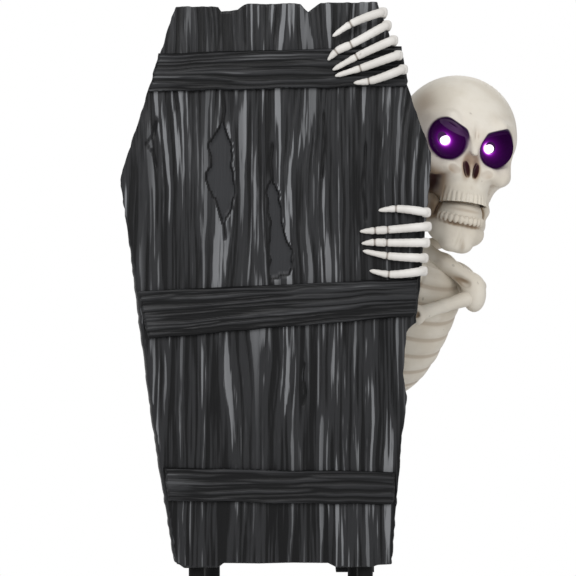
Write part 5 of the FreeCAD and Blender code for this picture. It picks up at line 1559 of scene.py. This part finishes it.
@dataclass
class Jaw:
    """The lower jaw in the head's frame: two branches, a body with a cleft chin, and a row of teeth."""

    hinge: tuple[float, float, float] = (43.0, -12.0, -74.0)
    voxel: float = 1.1
    narrow: float = 1.05
    sway: float = 0.14

    def build(self, shop: Workshop) -> None:
        """Makes the jaw from blended limbs and lobes.

        Args:
            shop: the frames and finishes.
        """
        f = Field((-60, -96, -178), (60, 6, -62), self.voxel)
        f.lower_face()
        f.x = self.narrow * f.x - self.sway * (f.z + 96)
        for s in (-1, 1):
            hinge = (s * self.hinge[0], self.hinge[1], self.hinge[2])
            f.join(f.limb(hinge, (s * 40, -18, -104), 6.5, 7.0), 4)
            f.join(f.limb((s * 40, -20, -92), (s * 37, -26, -114), 6, 8), 6)
            f.join(f.limb((s * 37, -26, -115), (s * 25, -54, -128), 9.5, 12), 8)
            f.join(f.limb((s * 25, -54, -126), (s * 10, -63, -139), 12, 12), 8)
            f.join(f.ellipsoid((s * 10.5, -66, -143), (11.5, 11, 9.5)), 5)
            f.join(f.ellipsoid((s * 15, -60, -122), (13, 15, 17)), 8)
            f.join(f.ellipsoid((s * 36, -30, -102), (6.5, 20, 18)), 6)
            f.join(f.limb((s * 41, -20, -82), (s * 36, -44, -94), 5, 6.5), 6)
        f.join(f.ellipsoid((0, -66, -130), (21, 13, 22)), 8)
        f.join(f.ellipsoid((0, -47, -98), (28.5, 33.5, 18)), 4)
        f.join(f.ellipsoid((0, -50, -106), (31, 33, 19)), 5)
        f.carve(f.ellipsoid((0, -20, -118), (27, 26, 44)), 6)
        f.carve(f.ellipsoid((0, -84, -140), (3.0, 8, 20)), 6)
        for k, angle in enumerate(np.linspace(-76, 76, 13)):
            a = math.radians(angle)
            x, y = 31 * math.sin(a), -52 - 32.5 * math.cos(a)
            wide = 2.9 + 0.9 * math.cos(a)
            f.join(f.ellipsoid((x, y, -109.5 - 1.2 * math.cos(a)), (wide, wide, 5.8)), 1.2)
        f.value = np.maximum(f.value, f.z + 86 - 100 * ((np.abs(f.x) > 34) & (f.y > -56)))
        # Stained darker brown on the left side than on the right. Painted shade in the crease under the
        # upper teeth, below the lower teeth and in the chin's cleft.
        stains_and_shade = [((-40, -40, -100), (15, 24, 22), 0.95), ((40, -44, -104), (10, 18, 18), 0.25),
                  ((0, -78, -117.5), (32, 30, 2.2), 0.35), ((0, -82, -98), (32, 26, 3.0), 0.42),
                  ((0, -78, -146), (3.5, 8, 12), 0.35)]
        piece = from_field(f, "jaw_with_teeth", shop.places.head, reach=5.0, stains_and_shade=stains_and_shade,
                           marks_in_face=True)
        shop.fit(piece, Finish.BONE, "bone_plastic", "jaw", "jaw_bone")


# ---------------------------------------------------------------- the pieces that CAD gives

def dress_nodes(frame: dict, shop: Workshop) -> None:
    """Gives every node that CAD shapes its finish, by the record's slot or by its own name.

    Args:
        shop: the finishes.
    """
    finishes = {
        "coffin_plastic": Finish.FITTING, "hand_paint": Finish.HAND, "bone_plastic": Finish.BONE,
        "tube_steel": Finish.TUBE, "fitting_plastic": Finish.FITTING, "foot_rubber": Finish.RUBBER,
        "screw_steel": Finish.SCREW, "motor_steel": Finish.MOTOR, "gear_nylon": Finish.NYLON,
        "bush_brass": Finish.BUSH, "socket_purple": Finish.CUP, "eye_light": Finish.LAMP,
        "button_red": Finish.BUTTON, "switch_white": Finish.SWITCH, "cell_sleeve": Finish.CELL,
        "board_green": Finish.BOARD,
    }
    # A little of this bracket shows under the chin, where the neck bones go on.
    own = {"neck_bracket": Finish.BONE}
    for entry in frame["record"]["subparts"]:
        node = frame["nodes"][entry["node"]]
        node.data.materials.clear()
        finish = own.get(entry["node"], finishes[entry["material_slot"]])
        node.data.materials.append(shop.paint(finish))
        LOG.info("%s dressed as %s", entry["node"], entry["material_slot"])


# ---------------------------------------------------------------- studio

@dataclass
class Studio:
    """Pale round floor, white surround, soft lamps, and a camera level with the upper coffin."""

    camera_x: float = 16.0
    camera_z: float = 343.0
    distance: float = 3000.0
    lens: float = 151.3
    floor_radius: float = 1.3
    floor_z: float = -0.0006
    surround: float = 0.52

    def floor(self) -> None:
        """A disc just under the feet: rings of points round the middle."""
        sides = 96
        a, r = np.meshgrid(np.linspace(0, 2 * math.pi, sides + 1)[:-1],
                           np.linspace(0.001, self.floor_radius, 12))
        grid = np.stack([r * np.cos(a), r * np.sin(a), np.full(a.shape, self.floor_z)], -1) / MM
        shell = Shell()
        shell.add_grid(grid)
        shell.loops.append(np.arange(sides))
        disc = shell.piece("studio_floor", LocalFrame(np.zeros(3), np.eye(3)))
        if disc.data.polygons[0].normal.z < 0:
            disc.data.flip_normals()
        recipe = Recipe("studio_paper", (0.86, 0.86, 0.86), 0.8)
        grey = recipe.mix(recipe.noise(30.0), (0.85, 0.85, 0.85), (0.88, 0.88, 0.88))
        recipe.put("Base Color", grey)
        disc.data.materials.append(recipe.material)

    def lamp(self, name: str, spot: Sequence[float], aim: Sequence[float], size: float,
             power: float) -> None:
        """A square soft lamp that faces a point.

        Args:
            name: the lamp's name.
            spot: where it stands, in metres.
            aim: the point that it faces, in metres.
            size: its width in metres.
            power: its power in watts.
        """
        light = bpy.data.lights.new(name, "AREA")
        light.size = size
        light.energy = power
        lamp = bpy.data.objects.new(name, light)
        bpy.context.scene.collection.objects.link(lamp)
        back = np.array(spot, float) - np.array(aim, float)
        back /= np.linalg.norm(back)
        side = np.cross([0, 0, 1], back)
        side /= np.linalg.norm(side)
        basis = np.column_stack([side, np.cross(back, side), back])
        matrix = np.eye(4)
        matrix[:3, :3], matrix[:3, 3] = basis, spot
        lamp.matrix_world = Matrix(matrix.tolist())

    def build(self, places: Places) -> None:
        """Makes the floor, the surround, the lamps and the camera.

        The surround is plain white for the camera and dimmer as a light.

        Args:
            places: the object's local frames.
        """
        self.floor()
        world = bpy.data.worlds.new("studio")
        bpy.context.scene.world = world
        world.use_nodes = True
        tree = world.node_tree
        path = tree.nodes.new("ShaderNodeLightPath")
        level = tree.nodes.new("ShaderNodeMapRange")
        level.inputs["To Min"].default_value = self.surround
        level.inputs["To Max"].default_value = 1.0
        tree.links.new(path.outputs["Is Camera Ray"], level.inputs["Value"])
        tree.nodes["Background"].inputs["Color"].default_value = (1, 1, 1, 1)
        tree.links.new(level.outputs[0], tree.nodes["Background"].inputs["Strength"])
        aim = places.coffin.spot(0, 0, 350)
        self.lamp("key_lamp", (-0.9, -2.5, 2.1), aim, 1.4, 44.0)
        self.lamp("fill_lamp", (2.3, -1.8, 1.1), aim, 1.4, 12.0)
        self.lamp("rim_lamp", (0.8, 2.2, 1.9), aim, 1.2, 6.0)
        data = bpy.data.cameras.new("camera")
        data.lens, data.sensor_width, data.clip_end = self.lens, 36.0, 60.0
        camera = bpy.data.objects.new("camera", data)
        bpy.context.scene.collection.objects.link(camera)
        camera.location = places.coffin.spot(self.camera_x, -self.distance, self.camera_z)
        camera.rotation_euler = (math.pi / 2, 0, 0)
        bpy.context.scene.camera = camera
        bpy.context.scene.view_settings.view_transform = "Standard"


def corners(box: Sequence[Sequence[float]]) -> list[list[float]]:
    """A box's two corners as plain lists."""
    return [[float(v) for v in corner] for corner in box]


def main() -> None:
    """Builds the figure's sub-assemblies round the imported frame, then the studio."""
    logging.basicConfig(level=logging.INFO, format="%(name)s %(message)s")
    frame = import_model()
    shop = Workshop(Places.read(frame))
    dress_nodes(frame, shop)
    CoffinBoard().build(shop)
    for batten in BATTENS:
        batten.build(shop)
    for hand in HANDS:
        hand.build(shop)
    RibCage().build(shop)
    Shoulders().build(shop)
    Neck().build(shop)
    Skull().build(shop)
    Jaw().build(shop)
    Studio().build(shop.places)
    bpy.context.view_layer.update()


if __name__ == "__main__":
    main()
